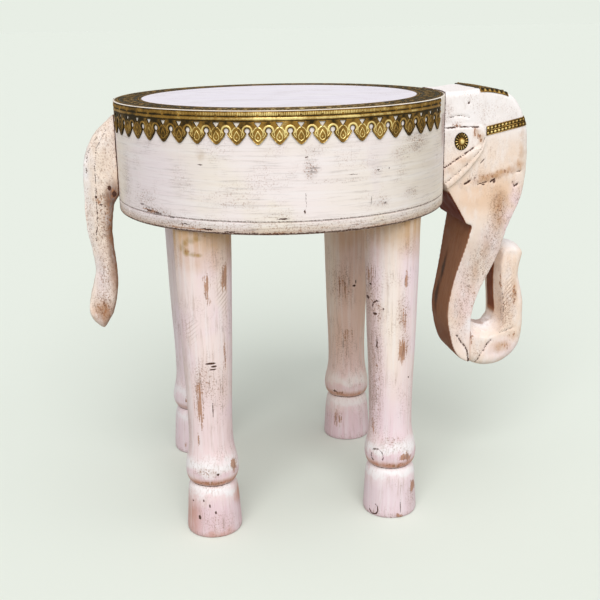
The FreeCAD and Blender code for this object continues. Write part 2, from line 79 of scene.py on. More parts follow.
# The brass ring in the top: its faces across and round a repeat, and the height of its pattern that lies level with the
# top. Its finish is rubbed a little less than that of the other brass.
RING_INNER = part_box("brass_top_ring")[1].x - 29 * MM
RING_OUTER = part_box("brass_top_ring")[1].x
RING_DEPTH = 0.8 * MM
RING_CUTS = 31
REPEAT_STEPS = 32
RING_LEVEL = 0.35
RING_RELIEF = 0.8
RING_RUB = 0.85

# A leg's profile as (radius, height), and how sharp each turned line is kept. The tenon is added above it.
LEG_PROFILE = (
    (0, 0, 0), (29.0, 0, 0.6), (30.4, 1.6, 0), (30.0, 10, 0), (29.1, 24, 0), (28.3, 38, 0), (27.5, 48, 0),
    (26.0, 54.5, 0), (23.2, 58.5, 0.8), (25.9, 60.6, 0), (28.0, 65, 0), (28.8, 71.5, 0), (28.6, 77.5, 0),
    (27.5, 84, 0), (25.6, 92, 0), (24.3, 100, 0), (23.8, 110, 0), (24.0, 135, 0), (25.0, 168, 0),
    (26.7, 208, 0), (27.9, 252, 0), (29.0, 296, 0), (29.7, 326, 0),
)
LEG_TOP_RADIUS = 30
TENON_RADIUS = 13
LEGS = ("leg_front_right", "leg_front_left", "leg_rear_right", "leg_rear_left")
LEG_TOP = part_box("leg_front_right")[1].z
LEG_STEPS = 36
# How fine the waves of hand turning are each way, and how much of the foot is kept true.
LEG_WAVES = (60, 60, 22)
FOOT_TRUE = 4 * MM

# Lines carved into the cheeks, trunk, curl and tail, as (x, z) in millimetres, with their width, depth and darkness.
# The darkness is partly painted shade in the grooves, as along the outer edge of the cheek's fold.
CHEEK_LINES = (
    (((182.5, 432.8), (188, 434.4), (195, 434.9), (200, 434), (205, 432.3)), 1.1, 0.9, 0.62),
    (((172, 421.2), (185, 422.3), (196.3, 422.6), (206, 422.4), (215.6, 421.9)), 1.2, 1.3, 0.78),
    (((172, 375.4), (192.5, 388.1), (210.6, 399.3)), 1.3, 1.4, 0.7),
    (((172, 357.5), (186, 367.6), (199.7, 378.5), (210, 388), (218.5, 397.2), (223.8, 409.9)), 1.7, 0.9, 0.48),
    (((209.8, 420.5), (216.9, 412), (220, 407.2), (217.3, 401.8), (210.6, 399.3)), 1.3, 0.8, 0.25),
)
CHEEK_CHIPS = (
    (((202, 358.6), (205.2, 360), (208.6, 362)), 1.3, 1.3, 1.0),
    (((218, 357.4), (224, 358.8), (229, 360.2)), 1.0, 1.0, 0.9),
    (((233, 360), (238, 363), (237, 358.5)), 1.3, 1.5, 1.0),
    (((260, 357.6), (262, 353.4), (265.6, 355.6)), 1.4, 1.8, 1.0), (((220.4, 381.6), (224.6, 386.2)), 0.9, 0.6, 0.8),
    (((204, 448.5), (204.4, 448.5)), 1.2, 2.2, 1.0), (((264, 369.5), (269, 370.5)), 1.1, 1.0, 0.7),
    (((211, 363), (216, 366)), 0.8, 0.6, 0.6),
)
TRUNK_LINES = (
    (((204, 173.5), (209, 165.5), (214.4, 159), (217.5, 153), (218.8, 144.6), (219.5, 140)), 1.4, 1.6, 0.8),
)
CURL_LINES = (
    (((246.8, 164.6), (241.4, 158.6), (238.6, 152.2), (234.2, 147.4), (231.8, 141.6), (229.4, 136.5)), 1.7, 1.4, 0.6),
    (((258, 173.5), (264, 174.2), (268, 176.8), (275, 178.3)), 1.1, 0.9, 0.55),
    (((258.3, 266.4), (256.5, 250), (257.5, 235.3), (262.4, 212.4), (260.7, 182)), 1.4, 0.3, 0.5),
    (((272, 232), (276, 222), (275, 208)), 1.5, 0.3, 0.5),
)
TAIL_LINES = (
    (((-191.2, 429.4), (-202.1, 410.5), (-204.9, 392.6), (-205.3, 368.3), (-206.5, 331.3), (-209.6, 309.5)),
     1.3, 0.3, 0.6),
    (((-200, 423), (-212.4, 404), (-214.5, 384)), 1.2, 0.3, 0.55),
)
# The tail's outer edge, towards which both of its faces are cut back.
TAIL_OUTER = ((-170, 455), (-186, 441), (-205.6, 421.6), (-217, 393), (-218.3, 371), (-217.7, 318), (-212.7, 272),
              (-219.6, 245), (-222, 234))
TAIL_HALF = 15
TAIL_BEVEL = 11
TAIL_BEVEL_SLOPE = 0.75

# The opening of the curl, round its inside, as (x, z) and how deep its long edges are cut back there.
CURL_OPENING = (
    (262, 292, 2), (258, 282, 4), (254.5, 255, 5), (254.2, 238, 5), (255.1, 220, 5), (256.6, 200, 5), (255.5, 184, 7),
    (251, 180, 9), (243, 178.6, 10), (231, 181.5, 10), (220, 192, 8), (214, 204, 4), (222, 250, 0), (240, 292, 0),
)
CURL_CUT_FROM = 9
CURL_CUT_TO = 36
CURL_CUT_REACH = 1.35

# Where the end of the curl is rounded over, and how far its middle comes down.
TIP_FROM = 255
TIP_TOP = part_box("trunk_curl")[1].z / MM
TIP_HALF = 28
TIP_DROP = 8.5

# The brass fringe, in millimetres from its top edge down and across one pendant. Its sheet is pressed a little too long
# and then cut along its outline.
FRINGE_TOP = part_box("brass_fringe_right")[1].z
PENDANT_WIDTH = 20.2
PENDANT_COUNT = 22
FRINGE_START = math.radians(32.5)
BAND_HEIGHT = 9.4
PENDANT_LENGTH = 31.0
FRINGE_SEAT = 0.02
EYELET_DROP = 18.0
EYELET_RADIUS = 2.4
GUSSET = ((3.4, 10.2), (0, 15.2))
PENDANT_SPARE = 0.4
PENDANT_GRID = (22, 64)
PENDANT_CUTTER = 5
SEAM_GAP = 0.001
EYELET_ARC = tuple(math.radians(degrees) for degrees in (90, 112, 135, 158, 180, 202, 225, 249))
PENDANT_EDGE = ((9.3, 20.3), (9.1, 21.4), (8.2, 23.1), (6.5, 25.3), (4.5, 27.6), (2.6, 29.6), (1.1, 30.7), (0, 31.0))
# The raised lines of half a pendant, as (across, drop): a drop round its boss, a leaf over it and a curl beside it.
PENDANT_VEINS = (
    ((0, 18.4), (1.3, 20.4), (2.6, 22.9), (2.8, 24.6), (2.0, 26.4), (0, 27.6)),
    ((0, 14.6), (2.2, 15.6), (4.2, 17.8), (5.0, 20.4), (4.6, 22.6)),
    ((4.6, 24.4), (6.2, 22.8), (7.2, 20.8), (6.6, 19.4)),
)

# Thickness of the brass, and how far a laid sheet's edge is turned in.
SHEET = 0.6
EDGE_TURN = 1.2

# The forehead strip, which climbs towards the front. Rays cast towards its hub find the wood under it.
STRIP_START = 225 * MM
STRIP_HEIGHT = 417 * MM
STRIP_SLOPE = math.tan(math.radians(12))
STRIP_WIDTH = 10.5 * MM
STRIP_HUB = Vector((0.226, 0, 0))
STRIP_SWEEP = math.radians(91)
STRIP_STEPS = 180
STRIP_GRID = (240, 18)
STRIP_RAY = 0.12
STRIP_FIRST_GUESS = 0.05
STRIP_GUESSES = 4

# The crown plate, folded down over both sides of the head, with its pattern's border and field, each along and across.
# Rays from over and beside the head find the wood under it.
CROWN_FROM = 217 * MM
CROWN_TO = 250 * MM
CROWN_HALF = 44.3 * MM
CROWN_FOLD = 42.5 * MM
CROWN_GRID = (56, 130)
CROWN_MIDDLE = 17 * MM
CROWN_BORDER = (16.2 * MM, 43.9 * MM)
CROWN_FIELD = (15.2 * MM, 43.3 * MM)
CROWN_FLOWER = 5.4 * MM
OVER_HEAD = 0.6
BESIDE_HEAD = 0.1

# An eye rosette: its radii, how narrow it is along the head, its faces across and round a petal, and its height.
ROSETTE_RADII = (0.5 * MM, 9.8 * MM)
ROSETTE_NARROWING = 0.82
ROSETTE_CUTS = 24
PETAL_STEPS = 12
ROSETTE_RELIEF = 1.4
ROSETTE_FOOT = -0.6 * MM

# Marks on the surface, each as a centre and its reach each way, in millimetres, and its strength.
LEG_HOOK = (
    ((-108, -133, 333), (6, 9, 3.6), 0.9), ((-114.5, -130.4, 331), (5.5, 9, 4.4), 1.1),
    ((-119.5, -126.4, 328), (5, 9, 5), 1.1), ((-121.8, -124, 323), (4.4, 9, 6), 1.1),
    ((-118.5, -127, 319), (5.5, 9, 5), 1.2), ((-113, -131, 317), (6, 9, 3.2), 1.1),
    ((-107.5, -133, 316), (5, 9, 2.8), 0.9),
)
LEG_WEAR = (
    ((-118, -127, 320), (5, 9, 4), 0.5), ((-101, -134, 284), (5, 10, 18), 0.95),
    ((-99.5, -134, 270), (3, 10, 10), 0.8), ((-81.8, -126.6, 290), (5.5, 10, 24), 1.0),
    ((-85, -129.5, 205), (4, 10, 22), 0.6), ((-114.5, -130.4, 150), (6.5, 10, 34), 1.1),
    ((-116, -131, 116), (3, 10, 16), 0.75), ((-78.5, -125, 80), (8, 10, 10), 1.15),
    ((-104, -135.9, 63.5), (24, 14, 2.6), 0.85), ((109.7, -132.5, 277), (5.5, 10, 14), 0.85),
    ((106, -133.5, 198), (6, 10, 20), 1.15), ((107, -133, 232), (6, 10, 22), 0.5),
    ((77, -120.6, 109), (5, 10, 15), 1.0), ((112, -133.5, 72.5), (13, 10, 6.5), 1.2),
    ((123, -125.6, 32), (9, 10, 8), 1.1), ((104, -135.7, 2), (7, 10, 5), 0.9), ((75, -116, 280), (6, 14, 16), 0.6),
    ((98, -136, 63.5), (24, 14, 2.6), 0.75), ((84, 86, 30), (9, 10, 16), 0.75), ((83, 84, 67), (14, 12, 5), 0.85),
    ((88, 82, 208), (14, 12, 30), 0.45), ((96, 80, 143), (13, 10, 18), 0.45), ((-112, 82, 76), (6, 10, 9), 0.9),
    ((104, 134, 180), (6, 10, 26), 0.95), ((-97, 134, 240), (6, 10, 28), 0.9), ((-128, 116, 120), (9, 8, 22), 0.9),
    ((129, -98, 220), (8, 6, 26), 0.9), ((112, 132, 74), (13, 10, 7), 1.0),
)
LEG_NICKS = (
    ((-99.6, -134, 200.1), (7.4, 6, 1.6), 1.4), ((-96.6, -133.8, 196.5), (4.2, 6, 1.4), 1.4),
    ((-97.8, -134, 193.3), (5, 6, 1.1), 1.2), ((-99.5, -134, 147), (1.0, 6, 18), 0.9),
    ((-97.5, -136, 74.5), (2, 6, 2), 1.1), ((-113.6, -133, 43.3), (1.1, 6, 2.2), 1.0),
    ((-107.5, -135.2, 37.8), (1.2, 6, 3.2), 1.0), ((-101.5, -136, 29.7), (1.5, 6, 2.8), 1.0),
    ((-118.5, -129.8, 22.9), (2.2, 6, 4), 0.9), ((-124, -120, 40), (1.2, 5, 1.4), 1.0),
    ((73.6, -110, 253.8), (2, 6, 2.8), 1.2), ((78.1, -122.2, 238.2), (2.8, 6, 2), 1.2),
    ((74.5, -115, 270), (1.4, 6, 2), 1.1), ((114.5, -130.2, 165), (1.5, 5, 2), 1.1),
    ((116.7, -128.7, 131.7), (1.9, 5, 2.8), 1.0), ((102.8, -134, 118), (1.0, 5, 7), 0.9),
    ((105, -135.8, 13), (0.8, 5, 13), 0.8), ((80, -124, 204), (1.2, 6, 12), 0.7),
    ((104.8, 80.5, 212), (3.4, 6, 2), 1.0), ((107, 81, 217), (1.1, 6, 4), 1.0), ((80, 86, 67.5), (4, 6, 1.6), 1.0),
    ((76.5, -121, 168), (1.0, 5, 9), 0.7),
)
LEG_KNOTS = (
    ((77, -125, 8.5), (5.6, 9, 7.4), 0.8), ((80.5, -125.2, 246), (7, 9, 8.5), 0.7),
    ((80, -127.5, 74), (7.5, 11, 10), 0.6),
)
LEG_COMBED = (((-84, -130, 272), (9, 10, 26), 1.0), ((-118, -127, 238), (11, 12, 18), 0.8))
COMB_PITCH = 5
LEG_DIRT = (
    ((-108, -132, 180), (18, 14, 28), 1.1), ((-88, -132, 165), (10, 12, 40), 0.8),
    ((-108, -134, 76), (24, 14, 6), 1.1), ((-98, -135, 16), (28, 14, 17), 0.7), ((76, -114, 262), (13, 22, 44), 1.4),
    ((80, -125, 240), (10, 14, 18), 1.4), ((106, -133, 238), (9, 12, 28), 1.4),
    ((79, -119, 165), (11, 20, 100), 1.25), ((108, -132, 205), (9, 12, 26), 1.0), ((90, -133, 92), (30, 12, 7), 0.9),
    ((118, -126, 20), (12, 14, 18), 0.8), ((-96, -134, 168), (18, 10, 30), 0.7), ((88, 84, 215), (22, 20, 40), 0.9),
    ((90, 82, 130), (24, 20, 40), 0.7), ((-88, -131, 310), (16, 12, 20), 0.6), ((110, -132, 312), (14, 12, 16), 0.6),
    ((103, -134, 85), (16, 12, 8), 0.6),
)
DRUM_WEAR = (
    ((-150, -98, 357), (24, 26, 3.6), 0.7), ((-114, -139, 345), (34, 28, 4), 0.5),
    ((-40, -176, 343.5), (70, 14, 3), 0.5), ((70, -168, 343), (60, 18, 2.6), 0.6),
    ((120, 134, 352), (40, 40, 6), 0.7), ((-60, 170, 372), (20, 10, 12), 0.6),
)
DRUM_NICKS = (
    ((-6.5, -181.2, 375), (0.7, 6, 14), 0.5), ((-7.6, -181, 364), (1.2, 6, 4), 0.8),
    ((-5, -181, 415.8), (2.6, 6, 1.1), 0.8), ((0, -181.3, 404), (3, 6, 5), 0.45),
    ((-152, -98, 360), (16, 18, 2.4), 0.45), ((76.5, -164.4, 365.6), (1.8, 5, 2.4), 0.6),
    ((61, -170.7, 370), (0.7, 5, 8), 0.7), ((-103, -149, 408.6), (6, 6, 0.9), 0.7),
    ((-152, -98, 357.4), (9, 12, 1.6), 0.75), ((-28, -179, 357.6), (9, 6, 1.4), 0.9),
    ((-158, -88, 362), (7, 10, 1.6), 0.65), ((-144, -109, 356.5), (10, 12, 1.8), 0.7),
    ((-131, -125, 354), (9, 10, 1.5), 0.65), ((-118, -137, 349), (12, 10, 1.2), 0.65),
    ((-99, -152, 346), (14, 10, 1.3), 0.75), ((-78, -163, 344.6), (13, 8, 1.2), 0.7),
    ((-56, -172, 344), (14, 8, 1.1), 0.6), ((40, -176, 343.8), (16, 8, 1.0), 0.5),
    ((68, -168, 399), (2.4, 5, 1.6), 0.7), ((80.4, -162.5, 399), (1.6, 5, 1.4), 0.8),
    ((40, -176.7, 397), (14, 6, 0.7), 0.6),
)
DRUM_DIRT = (
    ((-1, -181, 404), (9, 9, 13), 1.2), ((2, -181, 422), (16, 9, 7), 0.6), ((-155, -93, 368), (18, 24, 14), 0.9),
    ((-146, -106, 357), (34, 38, 7), 1.3), ((72, -166, 367), (13, 9, 9), 0.8), ((68, -168, 399), (14, 9, 6), 0.6),
    ((110, -144, 371), (16, 14, 8), 0.9), ((116, -139, 421), (28, 24, 14), 1.1), ((96, -154, 412), (20, 16, 10), 0.7),
    ((-72, -166, 371), (40, 18, 4), 0.7), ((-31, -178.6, 361), (26, 9, 4), 0.7), ((30, -178, 392), (50, 14, 3), 0.5),
    ((-130, -126, 345), (60, 60, 7), 1.3), ((100, -151, 348), (40, 30, 5), 0.6), ((164, -76, 430), (12, 26, 30), 1.0),
    ((-172, -56, 380), (10, 20, 40), 0.6), ((60, 171, 400), (40, 14, 20), 0.7), ((-120, 136, 380), (30, 30, 14), 0.8),
)
# The wear at (-192, -15, 330) is painted shade along the tail's edge beside the drum.
CARVING_WEAR = (
    ((232, -45, 365.5), (13, 9, 3.5), 0.4), ((248, -45, 370), (13, 9, 4), 0.42), ((265, -42, 376), (8, 12, 7), 0.4),
    ((212.5, -47, 416), (3.2, 8, 6), 0.75), ((216, -47, 411), (3, 8, 5), 0.7), ((219, -47, 406.5), (3.2, 8, 4), 0.8),
    ((244, -42, 336), (7, 10, 14), 0.42), ((246, -40, 318), (6, 10, 14), 0.4), ((191, -46, 424.6), (7, 8, 2.2), 0.7),
    ((263.5, -29, 155), (12, 9, 7), 0.6), ((274, -27, 170), (8, 8, 5), 0.6), ((275, -27, 221), (5, 8, 22), 0.6),
    ((258, -26, 238), (3.5, 9, 22), 0.55), ((-188, -14, 361), (5, 9, 9), 0.9), ((-192, -15, 330), (7, 9, 40), 0.5),
    ((-207, -14, 229), (13, 12, 14), 0.65), ((-204, -15, 357), (6, 8, 10), 0.55), ((278, 0, 372), (9, 26, 30), 0.55),
    ((240, 44, 350), (26, 9, 22), 0.6), ((276, 20, 225), (9, 14, 22), 0.6), ((264, 30, 156), (12, 9, 9), 0.7),
    ((222, -33, 172), (4, 8, 18), 0.45), ((268, -32, 326), (8, 9, 20), 0.6), ((268, 32, 318), (8, 9, 26), 0.65),
    ((262, 4, 300), (14, 14, 22), 0.5), ((286, 4, 214), (8, 16, 22), 0.5), ((286, -14, 170), (9, 10, 14), 0.55),
)
# The smears near x -183 to -190 are painted shade along the tail's edge beside the drum.
CARVING_SMEARS = (
    ((218, -45, 361.5), (10, 9, 4.4), 0.75), ((227, -45, 364), (11, 9, 5), 0.95),
    ((237, -45, 366.8), (11, 9, 5.4), 1.0), ((247, -45, 369.4), (11, 9, 5.8), 1.0),
    ((257, -44, 372.4), (10, 10, 6), 1.0), ((266, -42, 377), (9, 12, 9), 0.95), ((269, -40, 392), (5, 12, 16), 0.55),
    ((268, -40, 412), (4, 12, 10), 0.4), ((180, -46, 377), (10, 9, 9), 0.45), ((199, -46, 386), (13, 9, 5), 0.4),
    ((213, -47, 416), (5, 8, 8), 0.6), ((219, -47, 409), (5, 8, 7), 0.6), ((244, -42, 334), (13, 10, 22), 0.85),
    ((245, -41, 314), (11, 10, 20), 0.75), ((261, -29, 156), (15, 9, 10), 0.9), ((-183, -13, 345), (8, 12, 34), 0.7),
    ((-184, -12, 310), (6, 12, 30), 0.5), ((274, -27, 168), (9, 8, 8), 0.5), ((275, -27, 221), (6, 8, 26), 0.5),
    ((-190, -14, 350), (8, 10, 22), 0.6), ((-207, -14, 230), (14, 14, 14), 0.7), ((240, 45, 368), (22, 9, 8), 0.8),
    ((244, 42, 330), (12, 10, 18), 0.7), ((262, 29, 158), (15, 9, 9), 0.7), ((278, 6, 370), (9, 20, 14), 0.6),
    ((233, -36, 285), (7, 10, 32), 0.5), ((222, -34, 246), (6, 10, 26), 0.45), ((233, 36, 285), (7, 10, 32), 0.5),
)
CARVING_NICKS = (
    ((-191.1, -15, 367.6), (2.8, 7, 3.6), 1.2), ((-186.5, -13, 361), (3.4, 8, 5), 1.2),
    ((-206, -14, 358.4), (1.8, 6, 2.8), 1.0), ((-201.4, -15, 349.7), (2.4, 6, 1.2), 1.0),
    ((-197, -15, 347.9), (1.2, 6, 1.2), 0.9), ((219.6, -31, 141), (1.8, 6, 5), 1.1),
    ((224, -46, 357), (3, 6, 1.1), 0.9), ((279, -18, 392), (3, 8, 12), 0.8), ((243, -26, 175), (1.8, 6, 1.4), 0.9),
)
CARVING_COMBED = (((268, -26, 220), (9, 10, 28), 1.0), ((268, 26, 220), (9, 10, 28), 1.0))
TRUNK_BACK_STREAKS = (((202, 11, 246), (20, 6.5, 26), 1.0), ((196, 14, 214), (20, 7, 30), 0.9))
CARVING_DIRT = (
    ((244, -42, 328), (15, 12, 28), 1.5), ((240, -36, 300), (18, 16, 42), 1.05), ((228, -34, 262), (19, 16, 44), 0.9),
    ((215, -33, 235), (17, 16, 40), 0.85), ((207, -33, 202), (15, 16, 36), 0.85),
    ((206, -33, 178), (12, 14, 18), 0.7), ((225, -45, 388), (52, 12, 34), 0.2), ((190, -46, 402), (22, 10, 34), 0.25),
    ((268, -28, 250), (12, 14, 24), 0.45), ((265, -40, 338), (13, 14, 26), 0.7), ((257, -38, 312), (13, 14, 28), 0.8),
    ((-184, -14, 345), (8, 12, 40), 1.3), ((-215, -10, 325), (8, 16, 60), 0.8), ((-214, -10, 400), (7, 16, 34), 0.5),
    ((180, -45, 438), (9, 9, 14), 0.7), ((191, -46, 425.5), (9, 8, 4.5), 1.2), ((224, -45, 364), (30, 10, 10), 0.7),
    ((266, -28, 204), (15, 14, 40), 1.0), ((-198, -15, 330), (16, 14, 60), 1.15),
    ((-200, -14, 270), (14, 16, 50), 1.0), ((-206, -14, 236), (18, 16, 26), 1.3),
    ((-196, -15, 385), (12, 12, 26), 0.7), ((230, -31, 152), (10, 12, 14), 0.6), ((240, 44, 340), (40, 14, 50), 0.8),
    ((215, 33, 220), (20, 14, 60), 0.9),
)
# Darker patches on the top's edge where the fringe stops, beside the head and the tail.
TOP_EDGE_DARKENING = (((170, 0, 440), (40, 90, 34), 0.9), ((-176, 0, 440), (30, 50, 34), 0.7))
# Painted highlights on the near side of the brass: the fringe's front, the strip's middle, the right eye and the
# crown's edge.
BRASS_HIGHLIGHTS = (
    ((-10, -181, 445), (150, 80, 40), 0.6), ((236, -36, 420), (30, 22, 20), 0.6), ((196, -48, 403), (14, 9, 14), 0.3),
    ((234, -44, 462), (24, 12, 14), 0.3),
)
# Painted highlight: the nails of the eyes are brighter than the other nails.
EYE_NAIL_HIGHLIGHTS = tuple((sum(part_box(name), Vector()) / (2 * MM), (3.6, 14, 3.6), 0.75)
                  for name in ("eye_rosette_left", "eye_rosette_right"))

# Heights of the groove round the drum's foot and of its rounded lower edge, and of the groove over a leg's foot.
DRUM_GROOVE = 355.0
DRUM_LOWER_EDGE = 342.8
DRUM_EDGE_WEAR = 342.6
ANKLE_GROOVE = 58.8

# Along X, where the tail's dirt and the head's white begin and end, and across, where the trunk's far side darkens.
# The head's white is partly painted light.
TAIL_DIRT_INNER = (-0.1, -0.15)
TAIL_DIRT_OUTER = (-0.216, -0.204)
HEAD_FROM = (0.0, 0.1)
FAR_SIDE = (-0.01, 0.035)

# The camera that took the picture, found from the drum's rims, the groove and the feet.
CAMERA_PLACE = Vector((-0.1776, -1.0750, 0.5454))
CAMERA_YAW = math.radians(10.39)
CAMERA_PITCH = math.radians(16.48)
CAMERA_ROLL = math.radians(-0.93)
SENSOR = 36.0

# The stage. The lamps have an azimuth, an elevation and a spread, in degrees. Azimuth 0 is on the camera's side of the
# table, and a larger one turns towards the head.
FLOOR_RADIUS = 40
FLOOR_STEPS = 96
FLOOR_DIMMING = 0.55
LAMPS = {"top_light": (0, 82, 45), "key_light": (-12, 40, 50), "side_light": (45, 25, 60)}

# What is put behind a slot's name to name its finish.
FINISH = "_finish"


def paint(red, green, blue):
    """A colour written as a picture's values from 0 to 255, in Blender's linear values."""
    def linear(value):
        share = value / 255
        return share / 12.92 if share <= 0.04045 else ((share + 0.055) / 1.055) ** 2.4
    return (linear(red), linear(green), linear(blue))


def colour(label, note, *values):
    return FloatVectorProperty(name=label, description=note, subtype="COLOR", size=3, min=0, max=1,
                               default=paint(*values))


def length(label, note, millimetres):
    return FloatProperty(name=label, description=note, subtype="DISTANCE", unit="LENGTH", min=0,
                         default=millimetres * MM)


def tally(label, note, least, default):
    return IntProperty(name=label, description=note, min=least, default=default)


def intensity(label, note, default):
    return FloatProperty(name=label, description=note, min=0, default=default)


class WoodProperties(bpy.types.PropertyGroup):
    joint_ease: length("Joint ease", "How far the edges of the drum's joints are worn back", 0.18)
    rim_round: length("Rim round", "Rounding of the top's outer edge", 0.9)
    foot_round: length("Lower edge round", "Rounding of the drum's lower edge", 2.2)
    unevenness: length("Unevenness", "How far hand work strays from a true surface", 0.45)
    head_skin: length("Head skin", "Size of the faces that the head is carved in", 1.3)
    small_skin: length("Small skin", "Size of the faces that the curl and tail are carved in", 1.1)
    head_softening: tally("Head softening", "Rounds of sanding on the head", 0, 5)
    small_softening: tally("Curl and tail softening", "Rounds of sanding on the curl and tail", 0, 10)


class BrassProperties(bpy.types.PropertyGroup):
    relief: length("Relief", "Height of the pressed pattern", 0.9)
    ring_repeats: tally("Ring repeats", "Repeats of the scroll round the top ring", 1, 40)
    rosette_petals: tally("Rosette petals", "Spokes of an eye rosette", 3, 16)
    strip_beads: length("Strip bead pitch", "Spacing of the beads on the forehead strip", 4.2)


class FinishProperties(bpy.types.PropertyGroup):
    drum_wash: colour("Drum wash", "Limewash on the drum's wall", 246, 234, 232)
    drum_warm: colour("Drum warm wash", "Warmer limewash on the drum's wall", 245, 234, 221)
    drum_beige: colour("Drum beige wash", "Greyer limewash towards the head", 226, 213, 200)
    top_wash: colour("Top wash", "Limewash on the table top", 233, 227, 237)
    leg_wash: colour("Leg wash", "Limewash on the legs", 244, 222, 228)
    leg_warm: colour("Leg warm wash", "Warmer limewash on the legs", 245, 225, 221)
    # Cream limewash, also used as painted light on the left side of the left front leg.
    cream_wash_and_light: colour("Leg cream wash", "Cream limewash on the legs and tail", 250, 235, 219)
    carving_wash: colour("Carving wash", "Limewash on the head, trunk and tail", 247, 229, 215)
    carving_warm: colour("Carving warm wash", "Warmer limewash on the carving", 241, 217, 197)
    # Thick white limewash, also used as painted highlight on the legs and the head.
    chalk_and_highlight: colour("Chalk", "Thick white limewash", 250, 246, 247)
    pink_wash: colour("Pink wash", "Pinker limewash on the feet", 234, 206, 213)
    # Cooler limewash, also used as painted shade on the left rear leg.
    lilac_wash_and_shade: colour("Lilac wash", "Cooler limewash", 236, 222, 227)
    peach_wash: colour("Peach wash", "Thin limewash on the lower cheeks", 237, 202, 172)
    # Painted shade: ochre limewash under the drum on the legs' tops, and on the drum's lower edge.
    ochre_shade: colour("Ochre wash", "Thin limewash over ochre wood", 208, 166, 116)
    ochre_mark: colour("Ochre mark", "Old ochre stain on a leg", 176, 140, 88)
    tan_wash: colour("Tan wash", "Limewash rubbed nearly through", 204, 162, 126)
    # Reddish wood showing through, also used as painted shade under the legs' bulge.
    rust_and_shade: colour("Rust", "Reddish wood showing through", 198, 136, 110)
    dusty: colour("Dusty", "Dirty limewash", 196, 168, 160)
    # Painted shade on the left front leg, which stands behind in the drum's shade.
    shaded_leg_wash: colour("Warm leg", "Warmer limewash on the left front leg", 226, 188, 158)
    grey_grime: colour("Grey grime", "Grey dirt in the drum's grain", 152, 138, 134)
    # Brown dirt in the grain, also used as painted shade on the drum's lower edge.
    brown_grime_and_shade: colour("Brown grime", "Brown dirt in the grain", 176, 142, 122)
    bare_wood: colour("Bare wood", "Wood where the limewash has rubbed off", 178, 124, 86)
    # Stained wood, also used as painted shade on the tail's edge beside the drum.
    dark_wood_and_shade: colour("Dark wood", "Stained wood in nicks", 84, 56, 46)
    # Bare wood, also used as painted shade on the tail's edge beside the drum.
    brown_wood_and_shade: colour("Brown wood", "Bare wood on the trunk's back", 164, 114, 82)
    # Dark wood under the jaw, darkened further as painted shade.
    jaw_wood_and_shade: colour("Jaw wood", "Dark wood under the jaw", 104, 38, 18)
    soot: colour("Soot", "Dark streaks on the trunk's back", 62, 36, 24)
    bright_brass: colour("Bright brass", "Rubbed high places of the brass", 248, 224, 154)
    aged_brass: colour("Aged brass", "The brass between high and low places", 148, 110, 46)
    dark_brass: colour("Dark brass", "Old dirt in the low places of the brass", 48, 36, 14)


class StageProperties(bpy.types.PropertyGroup):
    floor_colour: colour("Floor", "Floor and background", 232, 238, 229)
    focal_length: FloatProperty(name="Focal length", description="Lens of the camera", subtype="DISTANCE_CAMERA",
                                unit="CAMERA", min=1, default=58.03)
    sky_light: intensity("Sky light", "Strength of the even light", 0.44)
    top_light: intensity("Top light", "Strength of the light from overhead", 0.42)
    key_light: intensity("Key light", "Strength of the light from above the camera", 1.95)
    side_light: intensity("Side light", "Strength of the light from the right", 0.28)


# Meshes

def in_mm(point):
    return Vector(point) * MM


def everything(bm):
    return bm.verts[:] + bm.edges[:] + bm.faces[:]


def verts_of(geom):
    return [item for item in geom if isinstance(item, bmesh.types.BMVert)]


def merged(bm, gap):
    bmesh.ops.remove_doubles(bm, verts=bm.verts, dist=gap)


def filled(bm):
    """Closes the openings of a mesh."""
    bmesh.ops.holes_fill(bm, edges=bm.edges, sides=0)


def outward(bm):
    """Turns the faces outwards."""
    bmesh.ops.recalc_face_normals(bm, faces=bm.faces)


def spun(bm, steps, gap):
    """Spins a line of points once round the Z axis."""
    bmesh.ops.spin(bm, geom=everything(bm), cent=(0, 0, 0), axis=(0, 0, 1), angle=2 * math.pi, steps=steps,
                   use_merge=True)
    merged(bm, gap)


def flat_ring(radii, height, cuts, steps, gap):
    """A level ring of small faces round the Z axis."""
    bm = bmesh.new()
    bm.edges.new([bm.verts.new((radius, 0, height)) for radius in radii])
    bmesh.ops.subdivide_edges(bm, edges=bm.edges[:], cuts=cuts)
    spun(bm, steps, gap)
    return bm


def skirt(bm):
    """Extrudes a sheet's outer edges where they are, and returns the new geometry."""
    rim = [edge for edge in bm.edges if edge.is_boundary]
    return bmesh.ops.extrude_edge_only(bm, edges=rim)["geom"]


def drawn_out(bm, faces, way):
    """Extrudes faces along a way."""
    grown = bmesh.ops.extrude_face_region(bm, geom=faces)["geom"]
    bmesh.ops.translate(bm, verts=verts_of(grown), vec=way)


def copied(node):
    """A merged copy of a CAD node's mesh."""
    bm = bmesh.new()
    bm.from_mesh(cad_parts[node].data)
    merged(bm, MM / 200)
    return bm


def linked(name, bm):
    mesh = bpy.data.meshes.new(name)
    bm.to_mesh(mesh)
    bm.free()
    obj = bpy.data.objects.new(name, mesh)
    bpy.context.scene.collection.objects.link(obj)
    return obj


def piece(name, bm, slot, *nodes):
    """A finished piece that stands for CAD nodes."""
    obj = linked(name, bm)
    obj.data.shade_smooth()
    obj.data.set_sharp_from_angle(angle=SHARP_ANGLE)
    obj.data.materials.append(finish_of(slot))
    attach(obj, "root")
    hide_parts(*nodes)
    return obj


def applied(obj):
    """The mesh of an object with its modifiers, as a bmesh. The object is removed."""
    depsgraph = bpy.context.evaluated_depsgraph_get()
    mesh = bpy.data.meshes.new_from_object(obj.evaluated_get(depsgraph), depsgraph=depsgraph)
    bm = bmesh.new()
    bm.from_mesh(mesh)
    bpy.data.meshes.remove(mesh)
    bpy.data.meshes.remove(obj.data)
    return bm


